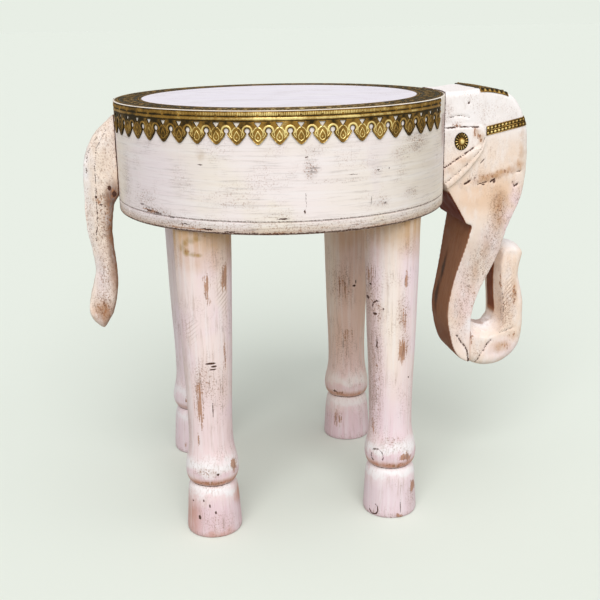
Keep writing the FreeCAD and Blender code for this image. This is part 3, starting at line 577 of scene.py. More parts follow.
def softened(bm, rounds):
    for _ in range(rounds):
        bmesh.ops.smooth_vert(bm, verts=bm.verts, factor=0.5, use_axis_x=True, use_axis_y=True, use_axis_z=True)
    bm.normal_update()


def combined(obj, other, operation):
    """Gives an object an exact boolean with another one."""
    boolean = obj.modifiers.new("Boolean", "BOOLEAN")
    boolean.operation = operation
    boolean.solver = "EXACT"
    boolean.object = other


def carving_blank(node, face_size, rounds, cutters=()):
    """A CAD node, cut by other shapes, as an even skin of small faces with its edges sanded, ready for carving."""
    blank = linked("blank", copied(node))
    for cutter in cutters:
        combined(blank, cutter, "DIFFERENCE")
    remesh = blank.modifiers.new("Even skin", "REMESH")
    remesh.mode = "VOXEL"
    remesh.voxel_size = face_size
    bm = applied(blank)
    for cutter in cutters:
        bpy.data.meshes.remove(cutter.data)
    softened(bm, rounds)
    return bm


def gap_to_line(point, line):
    """How far a point is from a line of points."""
    gaps = []
    for start, end in zip(line, line[1:]):
        nearest, share = intersect_point_line(point, start, end)
        nearest = start if share < 0 else end if share > 1 else nearest
        gaps.append((point - nearest).length)
    return min(gaps)


def side_view(point):
    """A point as it is seen from the side, in millimetres."""
    return Vector((point.x / MM, 0, point.z / MM))


def side_line(points):
    return [Vector((x, 0, z)) for x, z in points]


def carve(bm, lines, sides=(-1, 1)):
    """Presses grooves into the faces along lines of (x, z) points in millimetres, and marks how dark they are."""
    layer = bm.verts.layers.float.get("groove") or bm.verts.layers.float.new("groove")
    flat = [vert for vert in bm.verts if abs(vert.normal.y) > 0.4]
    for points, width, depth, darkness in lines:
        line = side_line(points)
        low = [min(point[axis] for point in line) - 3 * width for axis in (0, 2)]
        high = [max(point[axis] for point in line) + 3 * width for axis in (0, 2)]
        for vert in flat:
            spot = side_view(vert.co)
            side = math.copysign(1, vert.co.y)
            if side in sides and low[0] < spot.x < high[0] and low[1] < spot.z < high[1]:
                near = math.exp(-(gap_to_line(spot, line) / width) ** 2)
                vert.co.y -= side * depth * MM * near
                vert[layer] = max(vert[layer], darkness * near)


def stray(point, octaves):
    """How far hand work strays at a point, as a share from about -1 to 1."""
    return noise.fractal(point, 0.6, 2.0, octaves)


def roughened(bm, amount, scale, seed=0.0):
    """Moves a surface a little in and out, as hand work leaves it."""
    bm.normal_update()
    away = Vector((seed, seed, seed))
    moves = [stray(vert.co * scale + away, 3) * amount for vert in bm.verts]
    for vert, move in zip(bm.verts, moves):
        vert.co += vert.normal * move


# Materials

class NodeTree:
    """Adds nodes to a tree, with inputs given as values or as sockets to link."""

    def __init__(self, tree):
        self.tree = tree

    def fill(self, socket, value):
        if isinstance(value, bpy.types.NodeSocket):
            self.tree.links.new(value, socket)
        else:
            socket.default_value = value

    def add(self, kind, inputs=(), **settings):
        node = self.tree.nodes.new("ShaderNode" + kind)
        for name, value in settings.items():
            setattr(node, name, value)
        for name, value in dict(inputs).items():
            self.fill(node.inputs[name], value)
        return node

    def math(self, operation, first, second=0.0):
        return self.add("Math", {0: first, 1: second}, operation=operation).outputs[0]

    def product(self, first, *others):
        for other in others:
            first = self.math("MULTIPLY", first, other)
        return first

    def most(self, first, *others):
        for other in others:
            first = self.math("MAXIMUM", first, other)
        return first

    def ramp(self, value, low, high, start=0.0, end=1.0):
        """A smooth step of a value between two limits."""
        inputs = {"Value": value, "From Min": low, "From Max": high, "To Min": start, "To Max": end}
        return self.add("MapRange", inputs, interpolation_type="SMOOTHSTEP").outputs["Result"]

    def noise(self, place, scale, detail=3.0, roughness=0.5, output=0):
        inputs = {"Vector": place, "Scale": scale, "Detail": detail, "Roughness": roughness}
        return self.add("TexNoise", inputs).outputs[output]

    def vector(self, operation, first, second):
        return self.add("VectorMath", {0: first, 1: second}, operation=operation).outputs[0]

    def size(self, vector):
        return self.add("VectorMath", {0: vector}, operation="LENGTH").outputs["Value"]

    def split(self, place):
        return self.add("SeparateXYZ", {0: place}).outputs

    def attribute(self, name):
        return self.add("Attribute", attribute_name=name).outputs["Fac"]

    def ragged(self, place, scale, reach):
        """A position moved about by a noise, which gives a mask made from it ragged edges."""
        offset = self.vector("SUBTRACT", self.noise(place, scale, 4.0, 0.65, "Color"), (0.5, 0.5, 0.5))
        return self.vector("ADD", place, self.vector("MULTIPLY", offset, reach))

    def mixed(self, share, first, second):
        return self.add("Mix", {0: share, 6: first, 7: second}, data_type="RGBA").outputs[2]

    def group(self, name, inputs):
        return self.add("Group", inputs, node_tree=shared_group(name)).outputs


def place_masks(nodes, given):
    """A soft-edged oval place on the surface, and a ring round such a place."""
    share = nodes.vector("DIVIDE", nodes.vector("SUBTRACT", given["Position"], given["Centre"]), given["Reach"])
    distance = nodes.size(share)
    rim = nodes.math("ABSOLUTE", nodes.math("SUBTRACT", distance, 0.85))
    return {"Mask": nodes.product(nodes.ramp(distance, 1.2, 0.15), given["Strength"]),
            "Ring": nodes.product(nodes.ramp(rim, 0.2, 0.04), given["Strength"])}


def old_limewash(nodes, given):
    """Old limewash: uneven coats, dirt and scratches along the grain, specks, and wood where it is worn."""
    place, grain, streaks, dirt = given["Position"], given["Grain"], given["Streaks"], given["Dirt"]
    patches = nodes.noise(place, 30.0, 3.0, 0.6)
    mottle = nodes.noise(place, 70.0, 5.0, 0.65)
    fine = nodes.noise(place, 600.0, 3.0, 0.6)
    coats = nodes.noise(grain, 0.45, 4.0, 0.6)
    fibres = nodes.noise(grain, 1.0, 5.0, 0.68)
    frays = nodes.noise(grain, 1.5, 4.0, 0.6)
    strokes = nodes.noise(grain, 2.4, 3.0, 0.55)
    brown = nodes.mixed(0.35, given["Bare Wood"], given["Dark Wood"])

    # Thick and thin coats, then dirt caught along the grain
    now = nodes.mixed(nodes.product(nodes.ramp(coats, 0.42, 0.7), given["Coats"]), given["Wash"], given["Chalk"])
    lines = nodes.product(nodes.ramp(fibres, 0.5, 0.7), nodes.ramp(patches, 0.3, 0.62, 0.35, 1.0), streaks)
    smudge = nodes.product(nodes.ramp(fibres, 0.34, 0.62), dirt, 0.3)
    now = nodes.mixed(nodes.most(lines, smudge), now, given["Grime"])
    often = nodes.most(nodes.product(nodes.ramp(patches, 0.46, 0.62), streaks), dirt)
    scratch = nodes.most(nodes.ramp(strokes, 0.57, 0.69), nodes.ramp(frays, 0.6, 0.72))
    scratch = nodes.product(scratch, often, 0.85)
    now = nodes.mixed(scratch, now, nodes.mixed(0.5, given["Grime"], given["Dark Wood"]))
    often = nodes.most(nodes.product(nodes.ramp(patches, 0.48, 0.66), 0.42), dirt)
    specks = nodes.product(nodes.ramp(fine, 0.52, 0.64), often, 0.72)
    now = nodes.mixed(specks, now, brown)

    # Wood where the wash is rubbed through, first along its fibres, and nicks
    worn = nodes.product(nodes.math("SUBTRACT", nodes.ramp(frays, 0.34, 0.66), 0.5), 0.95)
    worn = nodes.math("ADD", worn, nodes.product(nodes.math("SUBTRACT", fine, 0.5), 1.2))
    worn = nodes.math("ADD", worn, nodes.product(given["Wear"], 1.05))
    worn = nodes.product(nodes.ramp(worn, 0.48, 0.85), nodes.ramp(given["Wear"], 0.05, 0.3))
    wood = nodes.mixed(nodes.product(nodes.ramp(strokes, 0.46, 0.64), 0.55), given["Bare Wood"], given["Dark Wood"])
    now = nodes.mixed(nodes.product(worn, 0.82), now, wood)
    nick = nodes.math("ADD", given["Nicks"], nodes.product(nodes.math("SUBTRACT", fine, 0.5), 0.9))
    nick = nodes.product(nodes.ramp(nick, 0.36, 0.66), nodes.ramp(given["Nicks"], 0.03, 0.2))
    now = nodes.mixed(nick, now, given["Dark Wood"])
    height = nodes.math("ADD", nodes.product(fibres, 0.4), nodes.product(mottle, 0.4))
    for mask, depth in ((worn, 0.35), (nick, 1.0), (specks, 0.4), (scratch, 0.3)):
        height = nodes.math("SUBTRACT", height, nodes.product(mask, depth))
    return {"Color": now, "Roughness": nodes.ramp(mottle, 0.3, 0.7, 0.6, 0.82), "Height": height}


def old_brass(nodes, given):
    """Old brass: bright where it is rubbed, brown in the low places."""
    cloud = nodes.math("SUBTRACT", nodes.noise(given["Position"], 70.0, 5.0, 0.65), 0.5)
    pits = nodes.noise(given["Position"], 900.0, 2.0)
    rubbed = nodes.math("ADD", given["Rubbed"], nodes.product(cloud, 1.3))
    rubbed = nodes.math("ADD", rubbed, nodes.product(nodes.math("SUBTRACT", pits, 0.5), 0.35))
    now = nodes.mixed(nodes.ramp(rubbed, 0.0, 0.5), given["Dark"], given["Aged"])
    now = nodes.mixed(nodes.ramp(rubbed, 0.5, 1.0), now, given["Bright"])
    return {"Color": now, "Roughness": nodes.ramp(rubbed, 0.1, 0.9, 0.75, 0.3), "Height": pits}


# The node groups that materials share: what fills each, its inputs and its outputs.
SURFACE = (("Color", "Color"), ("Roughness", "Float"), ("Height", "Float"))
GROUPS = {
    "Place": (
        place_masks, (("Position", "Vector"), ("Centre", "Vector"), ("Reach", "Vector"), ("Strength", "Float")),
        (("Mask", "Float"), ("Ring", "Float"))),
    "Old limewash": (
        old_limewash,
        (("Position", "Vector"), ("Grain", "Vector"), ("Wash", "Color"), ("Chalk", "Color"), ("Grime", "Color"),
         ("Bare Wood", "Color"), ("Dark Wood", "Color"), ("Wear", "Float"), ("Nicks", "Float"), ("Dirt", "Float"),
         ("Streaks", "Float"), ("Coats", "Float")), SURFACE),
    "Old brass": (
        old_brass, (("Position", "Vector"), ("Rubbed", "Float"), ("Bright", "Color"), ("Aged", "Color"),
                    ("Dark", "Color")), SURFACE),
}


def shared_group(name):
    """One of the node groups, made the first time it is asked for."""
    if name not in bpy.data.node_groups:
        build, inputs, outputs = GROUPS[name]
        tree = bpy.data.node_groups.new(name, "ShaderNodeTree")
        for in_out, sockets in (("INPUT", inputs), ("OUTPUT", outputs)):
            for label, kind in sockets:
                tree.interface.new_socket(label, in_out=in_out, socket_type="NodeSocket" + kind)
        given, result = tree.nodes.new("NodeGroupInput").outputs, tree.nodes.new("NodeGroupOutput").inputs
        nodes = NodeTree(tree)
        for label, value in build(nodes, given).items():
            nodes.fill(result[label], value)
    return bpy.data.node_groups[name]


def cleared(block):
    """The emptied node tree of a material or a world."""
    block.use_nodes = True
    block.node_tree.nodes.clear()
    return NodeTree(block.node_tree)


def dressed(nodes, shader, looks, strength, depth):
    """Links a group's colour, roughness and height to the shader."""
    bumps = nodes.add("Bump", {"Height": looks["Height"], "Strength": strength, "Distance": depth})
    nodes.fill(shader.inputs["Base Color"], looks["Color"])
    nodes.fill(shader.inputs["Roughness"], looks["Roughness"])
    nodes.fill(shader.inputs["Normal"], bumps.outputs["Normal"])


def rgba(values):
    return (*values, 1.0)


def places_mask(nodes, place, *places, output="Mask"):
    """One mask of all the given places."""
    masks = [nodes.group("Place", {"Position": place, "Centre": in_mm(centre), "Reach": in_mm(reach),
                                   "Strength": strength})[output] for centre, reach, strength in places]
    return nodes.most(*masks)


def random_wear(nodes, place, scale, low, high, strength):
    return nodes.product(nodes.ramp(nodes.noise(place, scale, 2.0), low, high), strength)


def height_ramp(nodes, place, low, high, strength):
    """A mask that grows from one height to another, in millimetres."""
    return nodes.product(nodes.ramp(nodes.split(place)["Z"], low * MM, high * MM), strength)


def height_band(nodes, place, middle, reach, strength):
    """A mask round a height, in millimetres."""
    gap = nodes.math("ABSOLUTE", nodes.math("SUBTRACT", nodes.split(place)["Z"], middle * MM))
    return nodes.product(nodes.ramp(gap, reach * MM, 0.0), strength)


def round_drum(nodes, place):
    """Coordinates that run round the drum and up it."""
    split = nodes.split(place)
    turn = nodes.math("ARCTAN2", split["Y"], split["X"])
    return nodes.add("CombineXYZ", {"X": nodes.product(turn, DRUM_RADIUS), "Y": split["Z"]}).outputs[0]


def from_axis(nodes, place):
    """How far out from the drum's axis a point is."""
    return nodes.size(nodes.vector("MULTIPLY", place, (1, 1, 0)))


def combed(nodes, place, *places):
    """Slanting brush marks on some places."""
    wavy = nodes.ragged(place, 90.0, in_mm((3, 3, 3)))
    across = nodes.add("VectorMath", {0: wavy, 1: (1 / MM, 0, -1 / MM)}, operation="DOT_PRODUCT").outputs["Value"]
    lines = nodes.ramp(nodes.math("SINE", nodes.product(across, 2 * math.pi / COMB_PITCH)), 0.2, 0.9)
    return nodes.product(lines, places_mask(nodes, nodes.ragged(place, 60.0, in_mm((10, 10, 14))), *places))


def limewashed(nodes, shader, place, grain, wash, grime, tints, masks, streaks, coats):
    """Dresses a shader as limewashed wood, with tints painted over the wash and masks of its wear, nicks and dirt."""
    finish = bpy.context.scene.elephant_finish
    now = nodes.mixed(nodes.ramp(nodes.noise(place, 13.0, 3.0), 0.42, 0.62), rgba(wash[0]), rgba(wash[1]))
    for mask, tint in tints:
        now = nodes.mixed(mask, now, rgba(tint))
    looks = nodes.group("Old limewash", {
        "Position": place, "Grain": grain, "Wash": now, "Chalk": rgba(finish.chalk_and_highlight), "Grime": rgba(grime),
        "Bare Wood": rgba(finish.bare_wood), "Dark Wood": rgba(finish.dark_wood_and_shade), "Wear": masks[0], "Nicks": masks[1],
        "Dirt": masks[2], "Streaks": streaks, "Coats": coats})
    dressed(nodes, shader, looks, 0.5, 0.6 * MM)
    shader.inputs["Specular IOR Level"].default_value = 0.3
    return looks["Color"]


def drum_looks(nodes, shader, place, finish):
    ragged = nodes.ragged(place, 120.0, in_mm((14, 14, 6)))
    wear = nodes.most(places_mask(nodes, ragged, *DRUM_WEAR), height_band(nodes, ragged, DRUM_EDGE_WEAR, 3.0, 0.35),
                      random_wear(nodes, place, 16.0, 0.62, 0.82, 0.3))
    broken = nodes.ragged(place, 220.0, in_mm((5, 5, 3)))
    nicks = nodes.most(places_mask(nodes, broken, *DRUM_NICKS), height_band(nodes, place, DRUM_GROOVE, 1.0, 0.62),
                       height_band(nodes, broken, DRUM_LOWER_EDGE, 2.2, 0.68))
    dirt = nodes.most(places_mask(nodes, ragged, *DRUM_DIRT), height_band(nodes, place, DRUM_GROOVE, 4.0, 0.4),
                      height_ramp(nodes, ragged, 358.0, 347.0, 0.85))
    spots = partial(places_mask, nodes, nodes.ragged(place, 30.0, in_mm((50, 50, 30))))
    tints = (
        (spots(((-150, -100, 400), (80, 90, 70), 0.7)), finish.lilac_wash_and_shade),
        (spots(((60, -165, 385), (70, 60, 50), 0.6)), finish.drum_warm),
        (spots(((128, -128, 390), (62, 62, 70), 0.8)), finish.drum_beige),
        (spots(((66, -168, 405), (15, 14, 46), 0.35)), finish.lilac_wash_and_shade),
        (places_mask(nodes, ragged, ((-102.5, -149.5, 418), (6, 8, 7), 0.35)), finish.ochre_mark),
        # A darker, duller wash on the wall beside the head, where the fringe ends.
        (spots(((165, -74, 430), (14, 30, 34), 0.7)), finish.dusty),
        # Painted shade: ochre, then brown, towards the drum's lower edge.
        (height_ramp(nodes, place, 353.0, 343.0, 0.4), finish.ochre_shade),
        (height_ramp(nodes, ragged, 348.0, 342.0, 0.5), finish.brown_grime_and_shade),
    )
    grain = nodes.vector("MULTIPLY", round_drum(nodes, place), (20, 420, 1))
    limewashed(nodes, shader, place, grain, (finish.drum_wash, finish.drum_warm), finish.grey_grime, tints,
               (wear, nicks, dirt), 0.39, 0.3)


def top_looks(nodes, shader, place, finish):
    wear = random_wear(nodes, place, 14.0, 0.68, 0.85, 0.4)
    grain = nodes.vector("MULTIPLY", place, (12, 300, 1))
    edge = nodes.ramp(from_axis(nodes, place), DRUM_RADIUS - 3 * MM, DRUM_RADIUS - MM)
    dirt = nodes.product(edge, places_mask(nodes, nodes.ragged(place, 120.0, in_mm((14, 14, 6))), *TOP_EDGE_DARKENING))
    tints = ((edge, finish.drum_warm), (nodes.product(dirt, 0.6), finish.dusty))
    limewashed(nodes, shader, place, grain, (finish.top_wash, finish.top_wash), finish.grey_grime, tints,
               (wear, 0.0, dirt), 0.3, 0.4)


def leg_looks(nodes, shader, place, finish):
    ragged = nodes.ragged(place, 110.0, in_mm((6, 6, 18)))
    wear = nodes.most(places_mask(nodes, ragged, *LEG_WEAR), random_wear(nodes, place, 22.0, 0.62, 0.82, 0.4))
    knots = places_mask(nodes, nodes.ragged(place, 160.0, in_mm((3, 3, 5))), *LEG_KNOTS, output="Ring")
    knots = nodes.product(knots, nodes.ramp(nodes.noise(place, 95.0, 2.0), 0.34, 0.51))
    nicks = nodes.most(places_mask(nodes, place, *LEG_NICKS), knots, height_band(nodes, place, ANKLE_GROOVE, 1.3, 0.8))
    # This mask also grows towards each leg's top under the drum, and towards its foot.
    dirt = nodes.most(places_mask(nodes, ragged, *LEG_DIRT), height_band(nodes, place, 59.0, 2.5, 0.5),
                      height_ramp(nodes, ragged, 330.0, 344.0, 0.7), height_ramp(nodes, ragged, 9.0, 0.0, 0.7))
    soft = nodes.ragged(place, 40.0, in_mm((14, 14, 40)))
    spots = partial(places_mask, nodes, soft)
    tints = (
        # Painted shade: ochre on the legs' tops under the drum.
        (height_ramp(nodes, soft, 280.0, 345.0, 0.95), finish.ochre_shade),
        (nodes.most(height_ramp(nodes, soft, 52.0, 32.0, 0.95), height_ramp(nodes, soft, 210.0, 110.0, 0.45)),
         finish.pink_wash),
        (spots(((100, -107, 25), (70, 70, 40), 0.6)), finish.lilac_wash_and_shade),
        (spots(((94, -133, 245), (16, 16, 130), 0.8), ((-84, -131, 280), (9, 14, 70), 0.5)), finish.cream_wash_and_light),
        (spots(((74, -110, 190), (8, 24, 120), 0.7), ((-125, -112, 180), (6, 24, 150), 0.35)), finish.dusty),
        # Painted highlight: white bands on the upward faces of the foot and the bulge.
        (nodes.most(height_band(nodes, soft, 52.0, 9.0, 0.85), height_band(nodes, soft, 83.0, 14.0, 0.85)),
         finish.chalk_and_highlight),
        (height_band(nodes, soft, 71.0, 8.0, 0.75), finish.pink_wash),
        # Painted shade: reddish brown round the underside of the bulge. The spots on the rear right foot are wood
        # showing through.
        (nodes.most(height_band(nodes, place, 63.0, 7.5, 0.95),
                    spots(((-126, -118, 22), (16, 24, 32), 0.75), ((-75, -118, 42), (9, 18, 18), 0.75),
                          ((-100, -136, 2), (34, 14, 9), 0.6))), finish.rust_and_shade),
        (nodes.product(combed(nodes, place, *LEG_COMBED), 0.45), finish.brown_grime_and_shade),
        (places_mask(nodes, nodes.ragged(place, 180.0, in_mm((4, 4, 4))), *LEG_HOOK), finish.ochre_mark),
        # Painted shade: a warmer, darker wash over the left front leg, which stands behind in the drum's shade.
        (places_mask(nodes, place, ((100, 107, 200), (120, 60, 190), 0.85)), finish.shaded_leg_wash),
        # Painted shade: ochre on the top of the left front leg, under the drum.
        (spots(((100, 85, 345), (60, 60, 95), 1.3)), finish.ochre_shade),
        # Painted light: cream on the left side of the left front leg.
        (spots(((74, 90, 235), (14, 26, 120), 0.8)), finish.cream_wash_and_light),
        # Painted shade: a cooler, darker wash over the left rear leg, which stands behind.
        (places_mask(nodes, place, ((-100, 107, 170), (120, 60, 400), 0.5)), finish.lilac_wash_and_shade),
    )
    grain = nodes.vector("MULTIPLY", place, (380, 380, 20))
    limewashed(nodes, shader, place, grain, (finish.leg_wash, finish.leg_warm), finish.brown_grime_and_shade, tints,
               (wear, nicks, dirt), 0.4, 0.3)


def carving_looks(nodes, shader, place, finish):
    ragged = nodes.ragged(place, 130.0, in_mm((8, 8, 8)))
    bare, groove = nodes.attribute("bare"), nodes.attribute("groove")
    broken = nodes.ramp(nodes.noise(place, 150.0, 3.0), 0.3, 0.55, 0.6, 1.0)
    # Painted shade: dark where the carving meets the drum.
    drum_contact_shade = nodes.ramp(from_axis(nodes, place), DRUM_RADIUS + 2.2 * MM, DRUM_RADIUS + 0.4 * MM)
    wear = nodes.most(places_mask(nodes, ragged, *CARVING_WEAR), random_wear(nodes, place, 24.0, 0.6, 0.82, 0.4))
    # The carved lines' darkness, partly painted shade in the grooves, joins the nicks and the dirt.
    nicks = nodes.most(places_mask(nodes, place, *CARVING_NICKS), nodes.product(groove, broken),
                       nodes.product(drum_contact_shade, 0.9, broken))
    along = nodes.split(place)["X"]
    tail = nodes.product(nodes.ramp(along, *TAIL_DIRT_INNER), nodes.ramp(along, *TAIL_DIRT_OUTER), 0.6)
    dirt = nodes.most(places_mask(nodes, ragged, *CARVING_DIRT), nodes.product(groove, 0.5), tail)
    soft = nodes.ragged(place, 40.0, in_mm((20, 20, 20)))
    spots = partial(places_mask, nodes, soft)
    tints = (
        (spots(((235, -45, 345), (60, 30, 34), 0.85), ((235, 45, 345), (60, 30, 34), 0.85)), finish.peach_wash),
        # Thicker wash and painted light from above: the head whitens towards its top.
        (nodes.product(height_ramp(nodes, soft, 385.0, 430.0, 0.8), nodes.ramp(along, *HEAD_FROM)), finish.chalk_and_highlight),
        (spots(((218, -34, 225), (26, 18, 80), 0.6), ((238, -36, 285), (24, 16, 44), 0.5),
               ((265, -40, 338), (13, 14, 26), 0.85), ((257, -38, 314), (13, 14, 28), 0.85),
               ((264, -28, 152), (34, 16, 18), 0.6), ((286, -10, 215), (12, 24, 50), 0.4)), finish.leg_wash),
        (spots(((-206, -14, 268), (15, 17, 42), 0.6)), finish.lilac_wash_and_shade),
        (spots(((-196, -15, 350), (15, 16, 120), 0.6), ((-196, 15, 350), (15, 16, 120), 0.6),
               ((226, -34, 258), (24, 16, 44), 0.6)), finish.cream_wash_and_light),
        (spots(((-215, 0, 390), (10, 18, 64), 1.1), ((-216, 0, 325), (8, 17, 64), 0.6),
               ((273, 0, 284), (26, 48, 24), 0.95), ((243, 0, 181), (24, 40, 14), 1.1),
               ((219, -33, 186), (9, 10, 16), 0.8)), finish.chalk_and_highlight),
        (places_mask(nodes, nodes.ragged(place, 150.0, in_mm((9, 9, 6))), *CARVING_SMEARS), finish.tan_wash),
        (nodes.product(combed(nodes, place, *CARVING_COMBED), 0.85), finish.brown_grime_and_shade),
        # Painted shade, with dirt: brown and dark wood along the tail's edge beside the drum.
        (places_mask(nodes, ragged, ((-188, -14, 350), (11, 16, 28), 0.9), ((-192, -14, 318), (9, 16, 34), 0.75),
                     ((-191, -14, 275), (8, 16, 44), 0.7), ((-205, -14, 222), (19, 18, 22), 0.65)), finish.brown_wood_and_shade),
        (places_mask(nodes, ragged, ((-187, -14, 352), (12, 20, 26), 0.9), ((-191, -14, 326), (9, 20, 24), 0.75),
                     ((-193, -14, 300), (5, 20, 30), 0.5)), finish.dark_wood_and_shade),
    )
    grain = nodes.vector("MULTIPLY", place, (230, 230, 90))
    painted = limewashed(nodes, shader, place, grain, (finish.carving_wash, finish.carving_warm), finish.brown_grime_and_shade,
                         tints, (wear, nicks, dirt), 0.2, 0.35)
    shader.inputs["Specular IOR Level"].default_value = 0.15

    # The bare wood of the jaw, the trunk's back and the inside of the curl, with painted shade under the jaw and on the
    # tail's side towards the drum
    fibres = nodes.ramp(nodes.noise(nodes.vector("MULTIPLY", place, (300, 300, 30)), 1.0, 4.0, 0.6), 0.35, 0.65)
    wood = nodes.mixed(nodes.ramp(bare, 0.6, 0.85), rgba(finish.brown_wood_and_shade), rgba(finish.jaw_wood_and_shade))
    far_side = nodes.ramp(nodes.split(ragged)["Y"], *FAR_SIDE)
    dark = nodes.most(nodes.product(fibres, 0.2), nodes.product(far_side, 0.4),
                      height_ramp(nodes, ragged, 205.0, 165.0, 0.45))
    wood = nodes.mixed(dark, wood, rgba(finish.jaw_wood_and_shade))
    wood = nodes.mixed(places_mask(nodes, ragged, *TRUNK_BACK_STREAKS), wood, rgba(finish.soot))
    nodes.fill(shader.inputs["Base Color"], nodes.mixed(nodes.ramp(bare, 0.1, 0.6), painted, wood))


def raw_wood_looks(nodes, shader, place, finish):
    fibres = nodes.noise(nodes.vector("MULTIPLY", place, (60, 60, 400)), 1.0, 4.0, 0.6)
    tone = nodes.mixed(nodes.ramp(fibres, 0.4, 0.7), rgba(finish.bare_wood), rgba(finish.brown_wood_and_shade))
    nodes.fill(shader.inputs["Base Color"], tone)
    shader.inputs["Roughness"].default_value = 0.7


def brassy(nodes, shader, place, finish, rubbed):
    """Dresses a shader as old brass, with a mask of where it is rubbed."""
    looks = nodes.group("Old brass", {
        "Position": place, "Rubbed": rubbed, "Bright": rgba(finish.bright_brass), "Aged": rgba(finish.aged_brass),
        "Dark": rgba(finish.dark_brass)})
    dressed(nodes, shader, looks, 0.25, 0.15 * MM)
    shader.inputs["Metallic"].default_value = 0.8


def sheet_looks(nodes, shader, place, finish):
    """Embossed brass, whose high places are rubbed, and brighter at some places as painted highlight."""
    near_highlight = places_mask(nodes, nodes.ragged(place, 30.0, in_mm((40, 40, 10))), *BRASS_HIGHLIGHTS)
    rubbed = nodes.product(nodes.attribute("relief"), nodes.math("ADD", near_highlight, 1.0))
    brassy(nodes, shader, place, finish, nodes.math("SUBTRACT", rubbed, 0.3))


def nail_looks(nodes, shader, place, finish):
    brassy(nodes, shader, place, finish, nodes.math("ADD", places_mask(nodes, place, *EYE_NAIL_HIGHLIGHTS), 0.3))


def screw_looks(nodes, shader, place, _):
    cloud = nodes.noise(place, 300.0, 3.0)
    nodes.fill(shader.inputs["Roughness"], nodes.ramp(cloud, 0.3, 0.7, 0.3, 0.5))
    tone = nodes.mixed(cloud, rgba(paint(150, 150, 152)), rgba(paint(190, 188, 184)))
    nodes.fill(shader.inputs["Base Color"], tone)
    shader.inputs["Metallic"].default_value = 1.0


# What dresses each of the part's slots
LOOKS = {"whitewashed_drum": drum_looks, "whitewashed_top": top_looks, "whitewashed_legs": leg_looks,
         "whitewashed_carving": carving_looks, "raw_wood": raw_wood_looks, "brass_sheet": sheet_looks,
         "brass_nails": nail_looks, "steel_screws": screw_looks}


def finish_of(slot):
    """The finish of one of the part's slots, made the first time it is asked for."""
    name = slot + FINISH
    if name not in bpy.data.materials:
        nodes = cleared(bpy.data.materials.new(name))
        shader = nodes.add("BsdfPrincipled")
        nodes.add("OutputMaterial", {"Surface": shader.outputs[0]})
        LOOKS[slot](nodes, shader, nodes.add("TexCoord").outputs["Object"], bpy.context.scene.elephant_finish)
    return bpy.data.materials[name]


def refinished(finish, *names):
    """Gives CAD nodes that stay as they are a better material."""
    for name in names:
        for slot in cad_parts[name].material_slots:
            slot.material = finish


# Pieces

def disc_blank(low, high):
    """A round blank of the drum's radius between two heights."""
    bm = bmesh.new()
    bmesh.ops.create_circle(bm, cap_ends=True, segments=DISC_STEPS, radius=DRUM_RADIUS,
                            matrix=Matrix.Translation((0, 0, low)))
    drawn_out(bm, bm.faces[:], (0, 0, high - low))
    outward(bm)
    return bm


def rim_edges(bm, height):
    """The edges of a disc's outer rim at a height."""
    return [edge for edge in bm.edges
            if all(abs(vert.co.z - height) < MM / 10 and vert.co.xy.length > DRUM_RADIUS - MM for vert in edge.verts)]


def bevelled(bm, edges, offset, segments):
    bmesh.ops.bevel(bm, geom=edges, offset=offset, offset_type="OFFSET", segments=segments, profile=0.5,
                    affect="EDGES", clamp_overlap=False, material=-1)


def top_blank(rim_round):
    """The table top's disc, with the shallow rebate that the brass ring lies in."""
    bm = disc_blank(TOP_UNDERSIDE, TOP)
    bevelled(bm, rim_edges(bm, TOP), rim_round, 3)
    inset_from = DRUM_RADIUS - rim_round
    for radius in (RING_OUTER, RING_INNER):
        cap = max(bm.faces, key=lambda face: (face.normal.z > 0.9) * face.calc_area())
        bmesh.ops.inset_region(bm, faces=[cap], thickness=inset_from - radius, use_even_offset=True)
        inset_from = radius
    ring = [face for face in bm.faces if face.normal.z > 0.9
            and RING_INNER < face.calc_center_median().xy.length < RING_OUTER]
    drawn_out(bm, ring, (0, 0, -RING_DEPTH))
    bmesh.ops.delete(bm, geom=ring, context="FACES_ONLY")
    outward(bm)
    return bm


def base_blank(lower_round):
    bm = disc_blank(BASE_UNDERSIDE, BASE_TOPSIDE)
    bevelled(bm, rim_edges(bm, BASE_TOPSIDE), BASE_GROOVE, 1)
    bevelled(bm, rim_edges(bm, BASE_UNDERSIDE), lower_round, 4)
    return bm


def board(blank, number, boards, ease):
    """One of the equal boards along X that a disc is sawn into, with its long edges eased."""
    bm = blank.copy()
    width = 2 * DRUM_RADIUS / boards
    start = -DRUM_RADIUS + number * width
    cuts = [(start, -1)] if number else []
    cuts += [(start + width, 1)] if number < boards - 1 else []
    for place, side in cuts:
        bmesh.ops.bisect_plane(bm, geom=everything(bm), plane_co=(0, place, 0), plane_no=(0, side, 0),
                               clear_outer=True)
    filled(bm)
    outward(bm)
    long_edges = [edge for edge in bm.edges for place, _ in cuts
                  if all(abs(vert.co.y - place) < MM / 100 for vert in edge.verts)]
    bevelled(bm, long_edges, ease, 1)
    return bm


